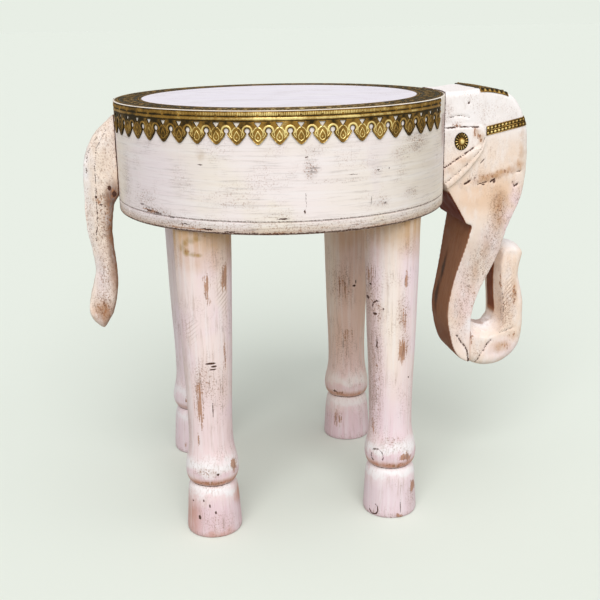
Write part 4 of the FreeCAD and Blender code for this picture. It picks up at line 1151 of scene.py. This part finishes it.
def wall_segment(course, number, ease):
    """One curved block of the drum's wall, spun from its section."""
    low, high = (BASE_TOPSIDE, COURSE_JOINT) if course == 0 else (COURSE_JOINT, TOP_UNDERSIDE)
    span = 2 * math.pi / SEGMENTS
    start = FIRST_JOINT + course * COURSE_STAGGER + number * span
    bm = bmesh.new()
    inner = DRUM_RADIUS - WALL_THICKNESS
    section = [bm.verts.new((radius, 0, height)) for radius, height in
               ((inner, low), (DRUM_RADIUS, low), (DRUM_RADIUS, high), (inner, high))]
    bm.faces.new(section)
    bmesh.ops.rotate(bm, verts=bm.verts, cent=(0, 0, 0), matrix=Matrix.Rotation(start, 3, "Z"))
    bmesh.ops.spin(bm, geom=everything(bm), cent=(0, 0, 0), axis=(0, 0, 1), angle=span, steps=SEGMENT_STEPS)
    merged(bm, MM / 100)
    filled(bm)
    outward(bm)
    joints = [edge for edge in bm.edges if abs(edge.verts[0].co.z - edge.verts[1].co.z) > MM
              and edge.verts[0].co.xy.length > DRUM_RADIUS - MM and edge.calc_face_angle(0) > 1]
    bevelled(bm, joints, ease, 1)
    return bm


class ELEPHANT_OT_drum(bpy.types.Operator):
    """Build the boards of the top and base and the blocks of the wall"""
    bl_idname = "elephant.drum"
    bl_label = "Drum"

    def execute(self, context):
        wood = context.scene.elephant_wood
        for level, blank, boards, slot in (("top", top_blank(wood.rim_round), TOP_BOARDS, "whitewashed_top"),
                                           ("base", base_blank(wood.foot_round), BASE_BOARDS, "whitewashed_drum")):
            for number in range(boards):
                name = "%s_board_%d" % (level, number + 1)
                piece("limewashed_" + name, board(blank, number, boards, wood.joint_ease), slot, name)
            blank.free()
        for course, level in enumerate(("lower", "upper")):
            for number in range(SEGMENTS):
                name = "wall_%s_segment_%d" % (level, number + 1)
                piece("limewashed_" + name, wall_segment(course, number, wood.joint_ease), "whitewashed_drum", name)
        refinished(finish_of("raw_wood"), "rail_front_right_to_rear_left", "rail_front_left_to_rear_right",
                   "leg_wedges", "curl_dowels")
        refinished(finish_of("steel_screws"), "rail_screws", "head_screws", "tail_screws")
        return {"FINISHED"}


def turned_leg(name, unevenness):
    """A leg spun from its profile, with the small flats and waves of hand turning."""
    bm = bmesh.new()
    shoulder, top = BASE_UNDERSIDE / MM, LEG_TOP / MM
    line = LEG_PROFILE + ((LEG_TOP_RADIUS, shoulder, 1), (TENON_RADIUS, shoulder, 1), (TENON_RADIUS, top, 1),
                          (0, top, 0))
    profile = [bm.verts.new(in_mm((radius, 0, height))) for radius, height, _ in line]
    for start, end in zip(profile, profile[1:]):
        bm.edges.new((start, end))
    spun(bm, LEG_STEPS, MM / 10)
    outward(bm)
    crease = bm.edges.layers.float.new("crease_edge")
    for edge in bm.edges:
        for _, height, sharpness in line:
            if sharpness and all(abs(vert.co.z - height * MM) < MM / 10 for vert in edge.verts):
                edge[crease] = max(edge[crease], sharpness)
    low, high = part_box(name)
    middle = (low + high) / 2
    bmesh.ops.translate(bm, verts=bm.verts, vec=(middle.x, middle.y, 0))
    bm.normal_update()
    shaft = [vert for vert in bm.verts if FOOT_TRUE < vert.co.z < BASE_UNDERSIDE - MM]
    for vert in shaft:
        wave = stray(Vector(share * scale for share, scale in zip(vert.co, LEG_WAVES)), 2)
        vert.co += vert.normal * wave * unevenness
    return bm


class ELEPHANT_OT_legs(bpy.types.Operator):
    """Turn the four legs"""
    bl_idname = "elephant.legs"
    bl_label = "Legs"

    def execute(self, context):
        wood = context.scene.elephant_wood
        for name in LEGS:
            leg = piece("limewashed_" + name, turned_leg(name, 1.6 * wood.unevenness), "whitewashed_legs", name)
            rounding = leg.modifiers.new("Rounding", "SUBSURF")
            rounding.levels = rounding.render_levels = 2
        return {"FINISHED"}


def stained_and_shaded(bm, covers):
    """Marks how far each point is dark, as bare wood and as painted shade."""
    layer = bm.verts.layers.float.new("bare")
    bm.normal_update()
    for vert in bm.verts:
        vert[layer] = covers(vert.co / MM, vert.normal)


def smooth_share(value, low, high):
    share = min(1, max(0, (value - low) / (high - low)))
    return share * share * (3 - 2 * share)


def under_jaw(place, normal):
    """Dark wood under the jaw and on the trunk's back, fading towards the trunk's foot. It is partly painted shade:
    darker on faces that turn back and down, and darkest under the jaw.
    """
    facing = smooth_share(-normal.x - 0.35 * normal.z, 0.45, 0.8)
    deep = 0.55 + 0.4 * smooth_share(place.z, 285, 335)
    return facing * deep * smooth_share(place.x, 181, 186)


def inside_curl(place, normal):
    """Dark wood on the narrow flats inside the curl."""
    flat = smooth_share(13 - abs(place.y), 0, 4)
    arm = 0.75 * smooth_share(-normal.x, 0.8, 0.96) * smooth_share(place.z, 186, 200)
    bridge = 0.35 * smooth_share(normal.z, 0.85, 0.97) * smooth_share(200 - place.z, 0, 10)
    return flat * max(arm, bridge)


class ELEPHANT_OT_head(bpy.types.Operator):
    """Carve the head with its eyes and trunk"""
    bl_idname = "elephant.head"
    bl_label = "Head and trunk"

    def execute(self, context):
        wood = context.scene.elephant_wood
        bm = carving_blank("head_and_trunk", wood.head_skin, wood.head_softening)
        carve(bm, CHEEK_LINES)
        carve(bm, CHEEK_CHIPS, sides=(-1,))
        carve(bm, TRUNK_LINES)
        roughened(bm, 0.8 * wood.unevenness, 45)
        stained_and_shaded(bm, under_jaw)
        piece("limewashed_head_and_trunk", bm, "whitewashed_carving", "head_and_trunk")
        return {"FINISHED"}


def opening_cutter(side):
    """A wedge that cuts back the long edge round the inside of the curl, on one side."""
    bm = bmesh.new()
    near, far = [], []
    count = len(CURL_OPENING)
    for number, (x, z, depth) in enumerate(CURL_OPENING):
        before, after = CURL_OPENING[number - 1], CURL_OPENING[(number + 1) % count]
        along = Vector((after[0] - before[0], 0, after[1] - before[1])).normalized()
        into_wood = Vector((-along.z, 0, along.x)) * depth * CURL_CUT_REACH
        near.append(bm.verts.new(in_mm((x, side * CURL_CUT_FROM, z))))
        far.append(bm.verts.new(in_mm(Vector((x, side * CURL_CUT_TO, z)) + into_wood)))
    bm.faces.new(near)
    bm.faces.new(far)
    for number in range(count):
        after = (number + 1) % count
        bm.faces.new((near[number], near[after], far[after], far[number]))
    outward(bm)
    return linked("opening_cutter", bm)


def round_tip(bm):
    """Rounds the end of the curl over from side to side."""
    for vert in bm.verts:
        high = smooth_share(vert.co.z / MM, TIP_FROM, TIP_TOP)
        side = min(1, abs(vert.co.y) / (TIP_HALF * MM))
        vert.co.z -= high * TIP_DROP * MM * (1 + side * side)


class ELEPHANT_OT_trunk_curl(bpy.types.Operator):
    """Carve the upturned end of the trunk"""
    bl_idname = "elephant.trunk_curl"
    bl_label = "Trunk curl"

    def execute(self, context):
        wood = context.scene.elephant_wood
        cutters = [opening_cutter(side) for side in (-1, 1)]
        bm = carving_blank("trunk_curl", wood.small_skin, wood.small_softening, cutters)
        round_tip(bm)
        carve(bm, CURL_LINES)
        roughened(bm, wood.unevenness, 55, 3.0)
        stained_and_shaded(bm, inside_curl)
        piece("limewashed_trunk_curl", bm, "whitewashed_carving", "trunk_curl")
        return {"FINISHED"}


def bevel_tail(bm):
    """Cuts back both faces of the tail towards its outer edge."""
    line = side_line(TAIL_OUTER)
    for vert in bm.verts:
        gap = gap_to_line(side_view(vert.co), line)
        limit = (TAIL_HALF - TAIL_BEVEL_SLOPE * max(0, TAIL_BEVEL - gap)) * MM
        if abs(vert.co.y) > limit:
            vert.co.y = math.copysign(limit, vert.co.y)


class ELEPHANT_OT_tail(bpy.types.Operator):
    """Carve the tail"""
    bl_idname = "elephant.tail"
    bl_label = "Tail"

    def execute(self, context):
        wood = context.scene.elephant_wood
        bm = carving_blank("tail", wood.small_skin, 2)
        bevel_tail(bm)
        softened(bm, wood.small_softening)
        carve(bm, TAIL_LINES)
        roughened(bm, 1.6 * wood.unevenness, 50, 7.0)
        # Painted shade on the tail's faces that turn towards the drum.
        stained_and_shaded(bm, lambda place, normal: 0.4 * smooth_share(normal.x, 0.5, 0.9))
        piece("limewashed_tail", bm, "whitewashed_carving", "tail")
        return {"FINISHED"}


def bump(distance, width):
    """A rounded ridge of height 1 and the given width."""
    return math.exp(-(distance / width) ** 2)


def half_round(distance, reach):
    return math.sqrt(max(0.0, 1 - (distance / reach) ** 2))


def pressed(bm, height_of):
    """Keeps the height of a pressed pattern at each point, for the shape and for the finish."""
    layer = bm.verts.layers.float.new("relief")
    for vert in bm.verts:
        vert[layer] = height_of(vert.co)
    return layer


def ring_pattern(radius, turn, repeats):
    """A scroll of leaves between two beaded edges, from 0 to 1."""
    across = (radius - RING_INNER) / (RING_OUTER - RING_INNER)
    along = (turn / (2 * math.pi) * repeats) % 1
    rims = max(bump(across - 0.03, 0.03), bump(across - 0.97, 0.03), bump(across - 0.2, 0.02),
               bump(across - 0.8, 0.02))
    beads = 0.0
    for middle in (0.115, 0.885):
        bead = ((along * 8) % 1) - 0.5
        beads = max(beads, 0.9 * half_round(math.hypot(bead * 2.2, (across - middle) * 22), 1))
    vine = bump(across - 0.5 - 0.16 * math.sin(2 * math.pi * along), 0.045)
    leaves = 0.0
    for middle, height in ((0.25, 0.38), (0.75, 0.62)):
        east = (along - middle) * 0.95
        north = across - height
        reach = math.hypot(east, north)
        petals = 0.75 + 0.25 * math.cos(5 * math.atan2(north, east))
        leaves = max(leaves, half_round(reach, 0.15 * petals) * (0.6 + 0.4 * petals), bump(reach, 0.035))
    return max(rims * 0.8, beads, vine * 0.8, leaves)


class ELEPHANT_OT_top_ring(bpy.types.Operator):
    """Press the brass ring that is let into the table top"""
    bl_idname = "elephant.top_ring"
    bl_label = "Top ring"

    def execute(self, context):
        brass = context.scene.elephant_brass
        bm = flat_ring((RING_INNER, RING_OUTER), TOP, RING_CUTS, brass.ring_repeats * REPEAT_STEPS, MM / 100)
        relief = pressed(bm, lambda co: RING_RUB * ring_pattern(co.xy.length, math.atan2(co.y, co.x),
                                                                brass.ring_repeats))
        for vert in bm.verts:
            vert.co.z += (vert[relief] / RING_RUB - RING_LEVEL) * brass.relief * RING_RELIEF
        under = skirt(bm)
        for vert in verts_of(under):
            vert.co.z = TOP - RING_DEPTH
        bmesh.ops.bridge_loops(bm, edges=[item for item in under if isinstance(item, bmesh.types.BMEdge)
                                          and item.is_boundary])
        outward(bm)
        piece("embossed_top_ring", bm, "brass_sheet", "brass_top_ring")
        return {"FINISHED"}


def pendant_pattern(across, drop):
    """The pressed pattern of one pendant and its piece of band, from 0 to 1, by millimetres from its top middle."""
    across = abs(across)
    if drop < BAND_HEIGHT:
        tick = 0.5 + 0.5 * math.cos(2 * math.pi * across / (PENDANT_WIDTH / 12))
        beads = (0.5 + 0.38 * tick) * half_round(drop - 2.5, 2.3)
        roll = 0.75 * half_round(drop - 6.9, 1.8)
        return max(beads, roll, 0.5 * bump(drop - 0.2, 0.4), 0.3 * bump(drop - BAND_HEIGHT, 0.4))
    side = PENDANT_WIDTH / 2 - across
    eye = math.hypot(side, EYELET_DROP - drop)
    arch = 0.85 * bump(eye - 4.4, 1.4)
    if drop > EYELET_DROP + 1:
        arch *= bump(drop - EYELET_DROP - 1, 2)
    spot = Vector((across, drop))
    veins = max(bump(gap_to_line(spot, [Vector(point) for point in vein]), 0.55) for vein in PENDANT_VEINS)
    boss = 0.75 * half_round(math.hypot(across / 1.2, (drop - 24.4) / 1.5), 1)
    edge = 0.85 * bump(gap_to_line(spot, [Vector(point) for point in PENDANT_EDGE]), 0.75)
    field = 0.28 + 0.2 * half_round(across, 9)
    return max(arch, 0.95 * veins, boss, edge, field)


def half_pendant(relief_height):
    """Half of a pendant in the plane, cut from a pressed sheet along its pierced outline."""
    half = PENDANT_WIDTH / 2
    bm = bmesh.new()
    bmesh.ops.create_grid(bm, x_segments=PENDANT_GRID[0], y_segments=PENDANT_GRID[1], size=0.5)
    for vert in bm.verts:
        vert.co = Vector(((vert.co.x + 0.5) * half, 0, (vert.co.y - 0.5) * (PENDANT_LENGTH + PENDANT_SPARE)))
    relief = pressed(bm, lambda co: pendant_pattern(co.x, -co.z))
    for vert in bm.verts:
        vert.co.y = SHEET + vert[relief] * relief_height / MM
    for vert in verts_of(skirt(bm)):
        vert.co.y = 0
    filled(bm)
    outward(bm)
    sheet = linked("pressed_sheet", bm)

    cutter = bmesh.new()
    eyelet = [(half + EYELET_RADIUS * math.cos(turn), EYELET_DROP - EYELET_RADIUS * math.sin(turn))
              for turn in EYELET_ARC]
    outline = [(-1, -1), (half + 1, -1), (half + 1, EYELET_DROP - EYELET_RADIUS)] + eyelet + list(PENDANT_EDGE)
    outline += [(-1, PENDANT_LENGTH), (-1, GUSSET[1][1]), GUSSET[1], GUSSET[0], (-1, GUSSET[0][1])]
    face = cutter.faces.new([cutter.verts.new((across, -PENDANT_CUTTER, -drop)) for across, drop in outline])
    drawn_out(cutter, [face], (0, 2 * PENDANT_CUTTER, 0))
    outward(cutter)
    outline_block = linked("pendant_outline", cutter)

    combined(sheet, outline_block, "INTERSECT")
    result = applied(sheet)
    bpy.data.meshes.remove(outline_block.data)
    seams = [face for face in result.faces if all(vert.co.x < SEAM_GAP for vert in face.verts)
             or all(vert.co.x > half - SEAM_GAP for vert in face.verts)]
    bmesh.ops.delete(result, geom=seams, context="FACES")
    return result


def fringe(relief_height, side):
    """The pendants of one flank, bent round the drum. The side is 1 for the left and -1 for the right."""
    bm = half_pendant(relief_height)
    bmesh.ops.mirror(bm, geom=everything(bm), axis="X", merge_dist=0.002)
    one = everything(bm)
    for number in range(1, PENDANT_COUNT):
        twin = bmesh.ops.duplicate(bm, geom=one)["geom"]
        bmesh.ops.translate(bm, verts=verts_of(twin), vec=(number * PENDANT_WIDTH, 0, 0))
    merged(bm, 0.01)
    for vert in bm.verts:
        turn = side * (FRINGE_START + (vert.co.x + PENDANT_WIDTH / 2) * MM / DRUM_RADIUS)
        out = DRUM_RADIUS + (vert.co.y + FRINGE_SEAT) * MM
        vert.co = Vector((out * math.cos(turn), out * math.sin(turn), FRINGE_TOP + vert.co.z * MM))
    outward(bm)
    return bm


class ELEPHANT_OT_fringe(bpy.types.Operator):
    """Press and pierce the brass fringe on both flanks"""
    bl_idname = "elephant.fringe"
    bl_label = "Fringe"

    def execute(self, context):
        relief = context.scene.elephant_brass.relief
        for name, side in (("left", 1), ("right", -1)):
            piece("embossed_fringe_" + name, fringe(relief, side), "brass_sheet", "brass_fringe_" + name)
        return {"FINISHED"}


def skin_tree(name):
    """The finished surface of a piece, to lay brass on."""
    bm = bmesh.new()
    bm.from_mesh(bpy.data.objects[name].data)
    tree = BVHTree.FromBMesh(bm)
    bm.free()
    return tree


def laid(grid, across, along, place_of, pattern, relief_height):
    """A pressed sheet, laid on a surface point by point, with its edge turned down onto the wood."""
    bm = bmesh.new()
    bmesh.ops.create_grid(bm, x_segments=grid[0], y_segments=grid[1], size=0.5)

    def spot(co):
        return (co.x + 0.5) * along, co.y * across

    relief = pressed(bm, lambda co: pattern(*spot(co)))
    for vert in bm.verts:
        seat, out = place_of(*spot(vert.co))
        vert.co = seat + out * (SHEET * MM + vert[relief] * relief_height)
    middle = sum((vert.co for vert in bm.verts), Vector()) / len(bm.verts)
    edge = verts_of(skirt(bm))
    bm.normal_update()
    for vert in edge:
        vert.co += (middle - vert.co).normalized() * EDGE_TURN * MM
    outward(bm)
    return bm


def strip_spot(tree, out, rise):
    """A point of the head's surface on the strip's slope, in a direction from the hub."""
    spot = STRIP_HUB + out * STRIP_FIRST_GUESS
    start = STRIP_HUB + out * STRIP_RAY
    for _ in range(STRIP_GUESSES):
        height = STRIP_HEIGHT + (spot.x - STRIP_START) * STRIP_SLOPE + rise
        spot = tree.ray_cast(Vector((start.x, start.y, height)), -out)[0]
    return spot


def strip_path(tree):
    """Where the strip's middle line runs round the head, and how far along it each point is."""
    path = []
    travelled = 0.0
    for step in range(STRIP_STEPS + 1):
        turn = -STRIP_SWEEP + step * 2 * STRIP_SWEEP / STRIP_STEPS
        out = Vector((math.cos(turn), math.sin(turn), 0))
        spot = strip_spot(tree, out, 0.0)
        travelled += (spot - path[-1][1]).length if path else 0.0
        path.append((travelled, spot, out))
    return path


def strip_pattern(along, across, pitch):
    """Two rows of beads between three ridges."""
    share = across / STRIP_WIDTH
    ridges = max(bump(share, 0.05), bump(abs(share) - 0.46, 0.06))
    along_bead = (along / pitch) % 1 - 0.5
    bead = half_round(math.hypot(along_bead * 2.3, (abs(share) - 0.24) * 6.4), 1)
    return max(0.8 * ridges, bead, 0.15)


def crown_pattern(along, across):
    """Rows of flowers inside a ridged border."""
    east, north = along - CROWN_MIDDLE, across
    border = 0.8 * max(bump(abs(east) - CROWN_BORDER[0], 0.6 * MM), bump(abs(north) - CROWN_BORDER[1], 0.45 * MM))
    x, y = (east / CROWN_FLOWER + 0.5) % 1 - 0.5, (north / CROWN_FLOWER + 0.5) % 1 - 0.5
    reach = math.hypot(x, y)
    petals = 0.72 + 0.28 * math.cos(6 * math.atan2(y, x))
    flower = max(half_round(reach, 0.46 * petals) * 0.85, half_round(reach, 0.12))
    inside = abs(east) < CROWN_FIELD[0] and abs(north) < CROWN_FIELD[1]
    return max(border, flower if inside else 0.0, 0.1)


class ELEPHANT_OT_head_trim(bpy.types.Operator):
    """Lay the pressed brass strip round the forehead and the plate on the crown"""
    bl_idname = "elephant.head_trim"
    bl_label = "Head trim"

    def execute(self, context):
        brass = context.scene.elephant_brass
        tree = skin_tree("limewashed_head_and_trunk")
        path = strip_path(tree)
        whole = path[-1][0]

        def on_forehead(along, across):
            index = next((i for i, point in enumerate(path) if point[0] >= along - 1e-9), len(path) - 1)
            after, before = path[index], path[max(0, index - 1)]
            share = 0 if after[0] == before[0] else (along - before[0]) / (after[0] - before[0])
            out = before[2].lerp(after[2], share).normalized()
            return strip_spot(tree, out, across), out

        strip = laid(STRIP_GRID, STRIP_WIDTH, whole, on_forehead,
                     lambda along, across: strip_pattern(along, across, brass.strip_beads), 0.8 * brass.relief)
        piece("embossed_forehead_strip", strip, "brass_sheet", "brass_forehead_strip")

        def on_crown(along, across):
            x, side = CROWN_FROM + along, math.copysign(1, across)
            flat = min(abs(across), CROWN_FOLD) * side
            seat = tree.ray_cast(Vector((x, flat, OVER_HEAD)), Vector((0, 0, -1)))[0]
            if abs(across) <= CROWN_FOLD:
                return seat, Vector((0, 0, 1))
            start = Vector((x, side * BESIDE_HEAD, seat.z - (abs(across) - CROWN_FOLD)))
            return tree.ray_cast(start, Vector((0, -side, 0)))[0], Vector((0, side, 0))

        plate = laid(CROWN_GRID, 2 * CROWN_HALF, CROWN_TO - CROWN_FROM, on_crown, crown_pattern, brass.relief)
        piece("embossed_crown_plate", plate, "brass_sheet", "brass_crown_plate")
        return {"FINISHED"}


def rosette_pattern(radius, turn, petals):
    """Bright spokes in a dark dish, by millimetres from the middle."""
    spoke = (0.5 + 0.5 * math.cos(petals * turn)) ** 1.4
    return (0.08 + 0.92 * spoke) * half_round(radius - 7.0, 2.6)


def rosette(name, side, petals):
    """The rosette of an eye, on the left for side 1 and on the right for -1, in the place of a CAD node."""
    bm = flat_ring(ROSETTE_RADII, 0, ROSETTE_CUTS, petals * PETAL_STEPS, MM / 200)
    layer = pressed(bm, lambda co: rosette_pattern(co.xy.length / MM, math.atan2(co.y, co.x), petals))
    for vert in bm.verts:
        vert.co.x *= ROSETTE_NARROWING
        vert.co.z = (SHEET + ROSETTE_RELIEF * vert[layer]) * MM
    for vert in verts_of(skirt(bm)):
        vert.co.z = ROSETTE_FOOT
    filled(bm)
    facing = Matrix.Rotation(math.radians(90) * -side, 4, "X")
    low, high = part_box(name)
    seat = (low + high) / 2
    seat.y = low.y if side > 0 else high.y
    bmesh.ops.transform(bm, verts=bm.verts, matrix=Matrix.Translation(seat) @ facing)
    outward(bm)
    return bm


class ELEPHANT_OT_eyes(bpy.types.Operator):
    """Press the two eye rosettes"""
    bl_idname = "elephant.eyes"
    bl_label = "Eye rosettes"

    def execute(self, context):
        petals = context.scene.elephant_brass.rosette_petals
        for name, side in (("eye_rosette_left", 1), ("eye_rosette_right", -1)):
            piece("embossed_" + name, rosette(name, side, petals), "brass_sheet", name)
        return {"FINISHED"}


class ELEPHANT_OT_nails(bpy.types.Operator):
    """Give the brass nails their finish"""
    bl_idname = "elephant.nails"
    bl_label = "Brass nails"

    def execute(self, context):
        refinished(finish_of("brass_nails"), "top_ring_nails", "fringe_nails", "head_trim_nails", "eye_nails")
        return {"FINISHED"}


def seen_rays(nodes):
    """A mask of the rays that show a surface, straight or in a mirror or glass, rather than light something."""
    rays = nodes.add("LightPath").outputs
    return nodes.most(rays["Is Camera Ray"], rays["Is Glossy Ray"], rays["Is Transmission Ray"])


def floor_finish(tint):
    """A pale floor that takes the shadow, and throws less light back at the object than it shows."""
    material = bpy.data.materials.new("pale_floor")
    nodes = cleared(material)
    dim = tuple(FLOOR_DIMMING * value for value in tint)
    shader = nodes.add("BsdfDiffuse", {"Color": nodes.mixed(seen_rays(nodes), rgba(dim), rgba(tint))})
    nodes.add("OutputMaterial", {"Surface": shader.outputs[0]})
    return material


def light_sky(tint, strength):
    """An even sky: the background's colour where it is seen, and plain light elsewhere."""
    world = bpy.context.scene.world or bpy.data.worlds.new("Sky")
    bpy.context.scene.world = world
    nodes = cleared(world)
    even = nodes.add("Background", {"Color": (1, 1, 1, 1), "Strength": strength})
    backdrop = nodes.add("Background", {"Color": rgba(tint), "Strength": 1.0})
    mix = nodes.add("MixShader", {0: seen_rays(nodes), 1: even.outputs[0], 2: backdrop.outputs[0]})
    nodes.add("OutputWorld", {"Surface": mix.outputs[0]})


def sun(name, strength, azimuth, elevation, spread):
    """A broad far light."""
    lamp = bpy.data.lights.new(name, "SUN")
    lamp.energy = strength
    lamp.angle = math.radians(spread)
    obj = bpy.data.objects.new(name, lamp)
    turn, rise = math.radians(azimuth), math.radians(elevation)
    out = Vector((math.sin(turn) * math.cos(rise), -math.cos(turn) * math.cos(rise), math.sin(rise)))
    obj.rotation_mode = "QUATERNION"
    obj.rotation_quaternion = out.to_track_quat("Z", "Y")
    bpy.context.scene.collection.objects.link(obj)


def place_camera(focal_length):
    camera = bpy.data.cameras.new("Camera")
    camera.sensor_width = SENSOR
    camera.lens = focal_length
    obj = bpy.data.objects.new("Camera", camera)
    ahead = Vector((math.sin(CAMERA_YAW) * math.cos(CAMERA_PITCH), math.cos(CAMERA_YAW) * math.cos(CAMERA_PITCH),
                    -math.sin(CAMERA_PITCH)))
    level = Vector((math.cos(CAMERA_YAW), -math.sin(CAMERA_YAW), 0))
    upright = level.cross(ahead)
    right = level * math.cos(CAMERA_ROLL) + upright * math.sin(CAMERA_ROLL)
    up = upright * math.cos(CAMERA_ROLL) - level * math.sin(CAMERA_ROLL)
    turn = Matrix((right, up, -ahead)).transposed()
    obj.matrix_world = Matrix.Translation(CAMERA_PLACE) @ turn.to_4x4()
    bpy.context.scene.collection.objects.link(obj)
    bpy.context.scene.camera = obj


class ELEPHANT_OT_stage(bpy.types.Operator):
    """Lay the floor and set the lights and the camera"""
    bl_idname = "elephant.stage"
    bl_label = "Stage"

    def execute(self, context):
        stage = context.scene.elephant_stage
        bm = bmesh.new()
        bmesh.ops.create_circle(bm, cap_ends=True, segments=FLOOR_STEPS, radius=FLOOR_RADIUS)
        floor = linked("floor", bm)
        floor.data.materials.append(floor_finish(stage.floor_colour))
        light_sky(stage.floor_colour, stage.sky_light)
        for name, angles in LAMPS.items():
            sun(name, getattr(stage, name), *angles)
        place_camera(stage.focal_length)
        context.scene.view_settings.view_transform = "Standard"
        return {"FINISHED"}


OPERATORS = (ELEPHANT_OT_drum, ELEPHANT_OT_legs, ELEPHANT_OT_head, ELEPHANT_OT_trunk_curl, ELEPHANT_OT_tail,
             ELEPHANT_OT_top_ring, ELEPHANT_OT_fringe, ELEPHANT_OT_head_trim, ELEPHANT_OT_eyes, ELEPHANT_OT_nails,
             ELEPHANT_OT_stage)
PROPERTIES = {"elephant_wood": WoodProperties, "elephant_brass": BrassProperties, "elephant_finish": FinishProperties,
              "elephant_stage": StageProperties}


class ELEPHANT_PT_table(bpy.types.Panel):
    """Lists the table's pieces and their sizes and colours"""
    bl_idname = "ELEPHANT_PT_table"
    bl_label = "Elephant Table"
    bl_space_type = "VIEW_3D"
    bl_region_type = "UI"
    bl_category = "Elephant Table"

    def draw(self, context):
        for operator in OPERATORS:
            self.layout.operator(operator.bl_idname)
        for attribute, group in PROPERTIES.items():
            box = self.layout.box()
            for name in group.__annotations__:
                box.prop(getattr(context.scene, attribute), name)


def register():
    for group in PROPERTIES.values():
        bpy.utils.register_class(group)
    for operator in OPERATORS:
        bpy.utils.register_class(operator)
    bpy.utils.register_class(ELEPHANT_PT_table)
    for attribute, group in PROPERTIES.items():
        setattr(bpy.types.Scene, attribute, PointerProperty(type=group))


def unregister():
    for attribute in PROPERTIES:
        delattr(bpy.types.Scene, attribute)
    bpy.utils.unregister_class(ELEPHANT_PT_table)
    for operator in reversed(OPERATORS):
        bpy.utils.unregister_class(operator)
    for group in reversed(list(PROPERTIES.values())):
        bpy.utils.unregister_class(group)


def main():
    register()
    bpy.ops.elephant.drum()
    bpy.ops.elephant.legs()
    bpy.ops.elephant.head()
    bpy.ops.elephant.trunk_curl()
    bpy.ops.elephant.tail()
    bpy.ops.elephant.top_ring()
    bpy.ops.elephant.fringe()
    bpy.ops.elephant.head_trim()
    bpy.ops.elephant.eyes()
    bpy.ops.elephant.nails()
    bpy.ops.elephant.stage()


if __name__ == "__main__":
    main()
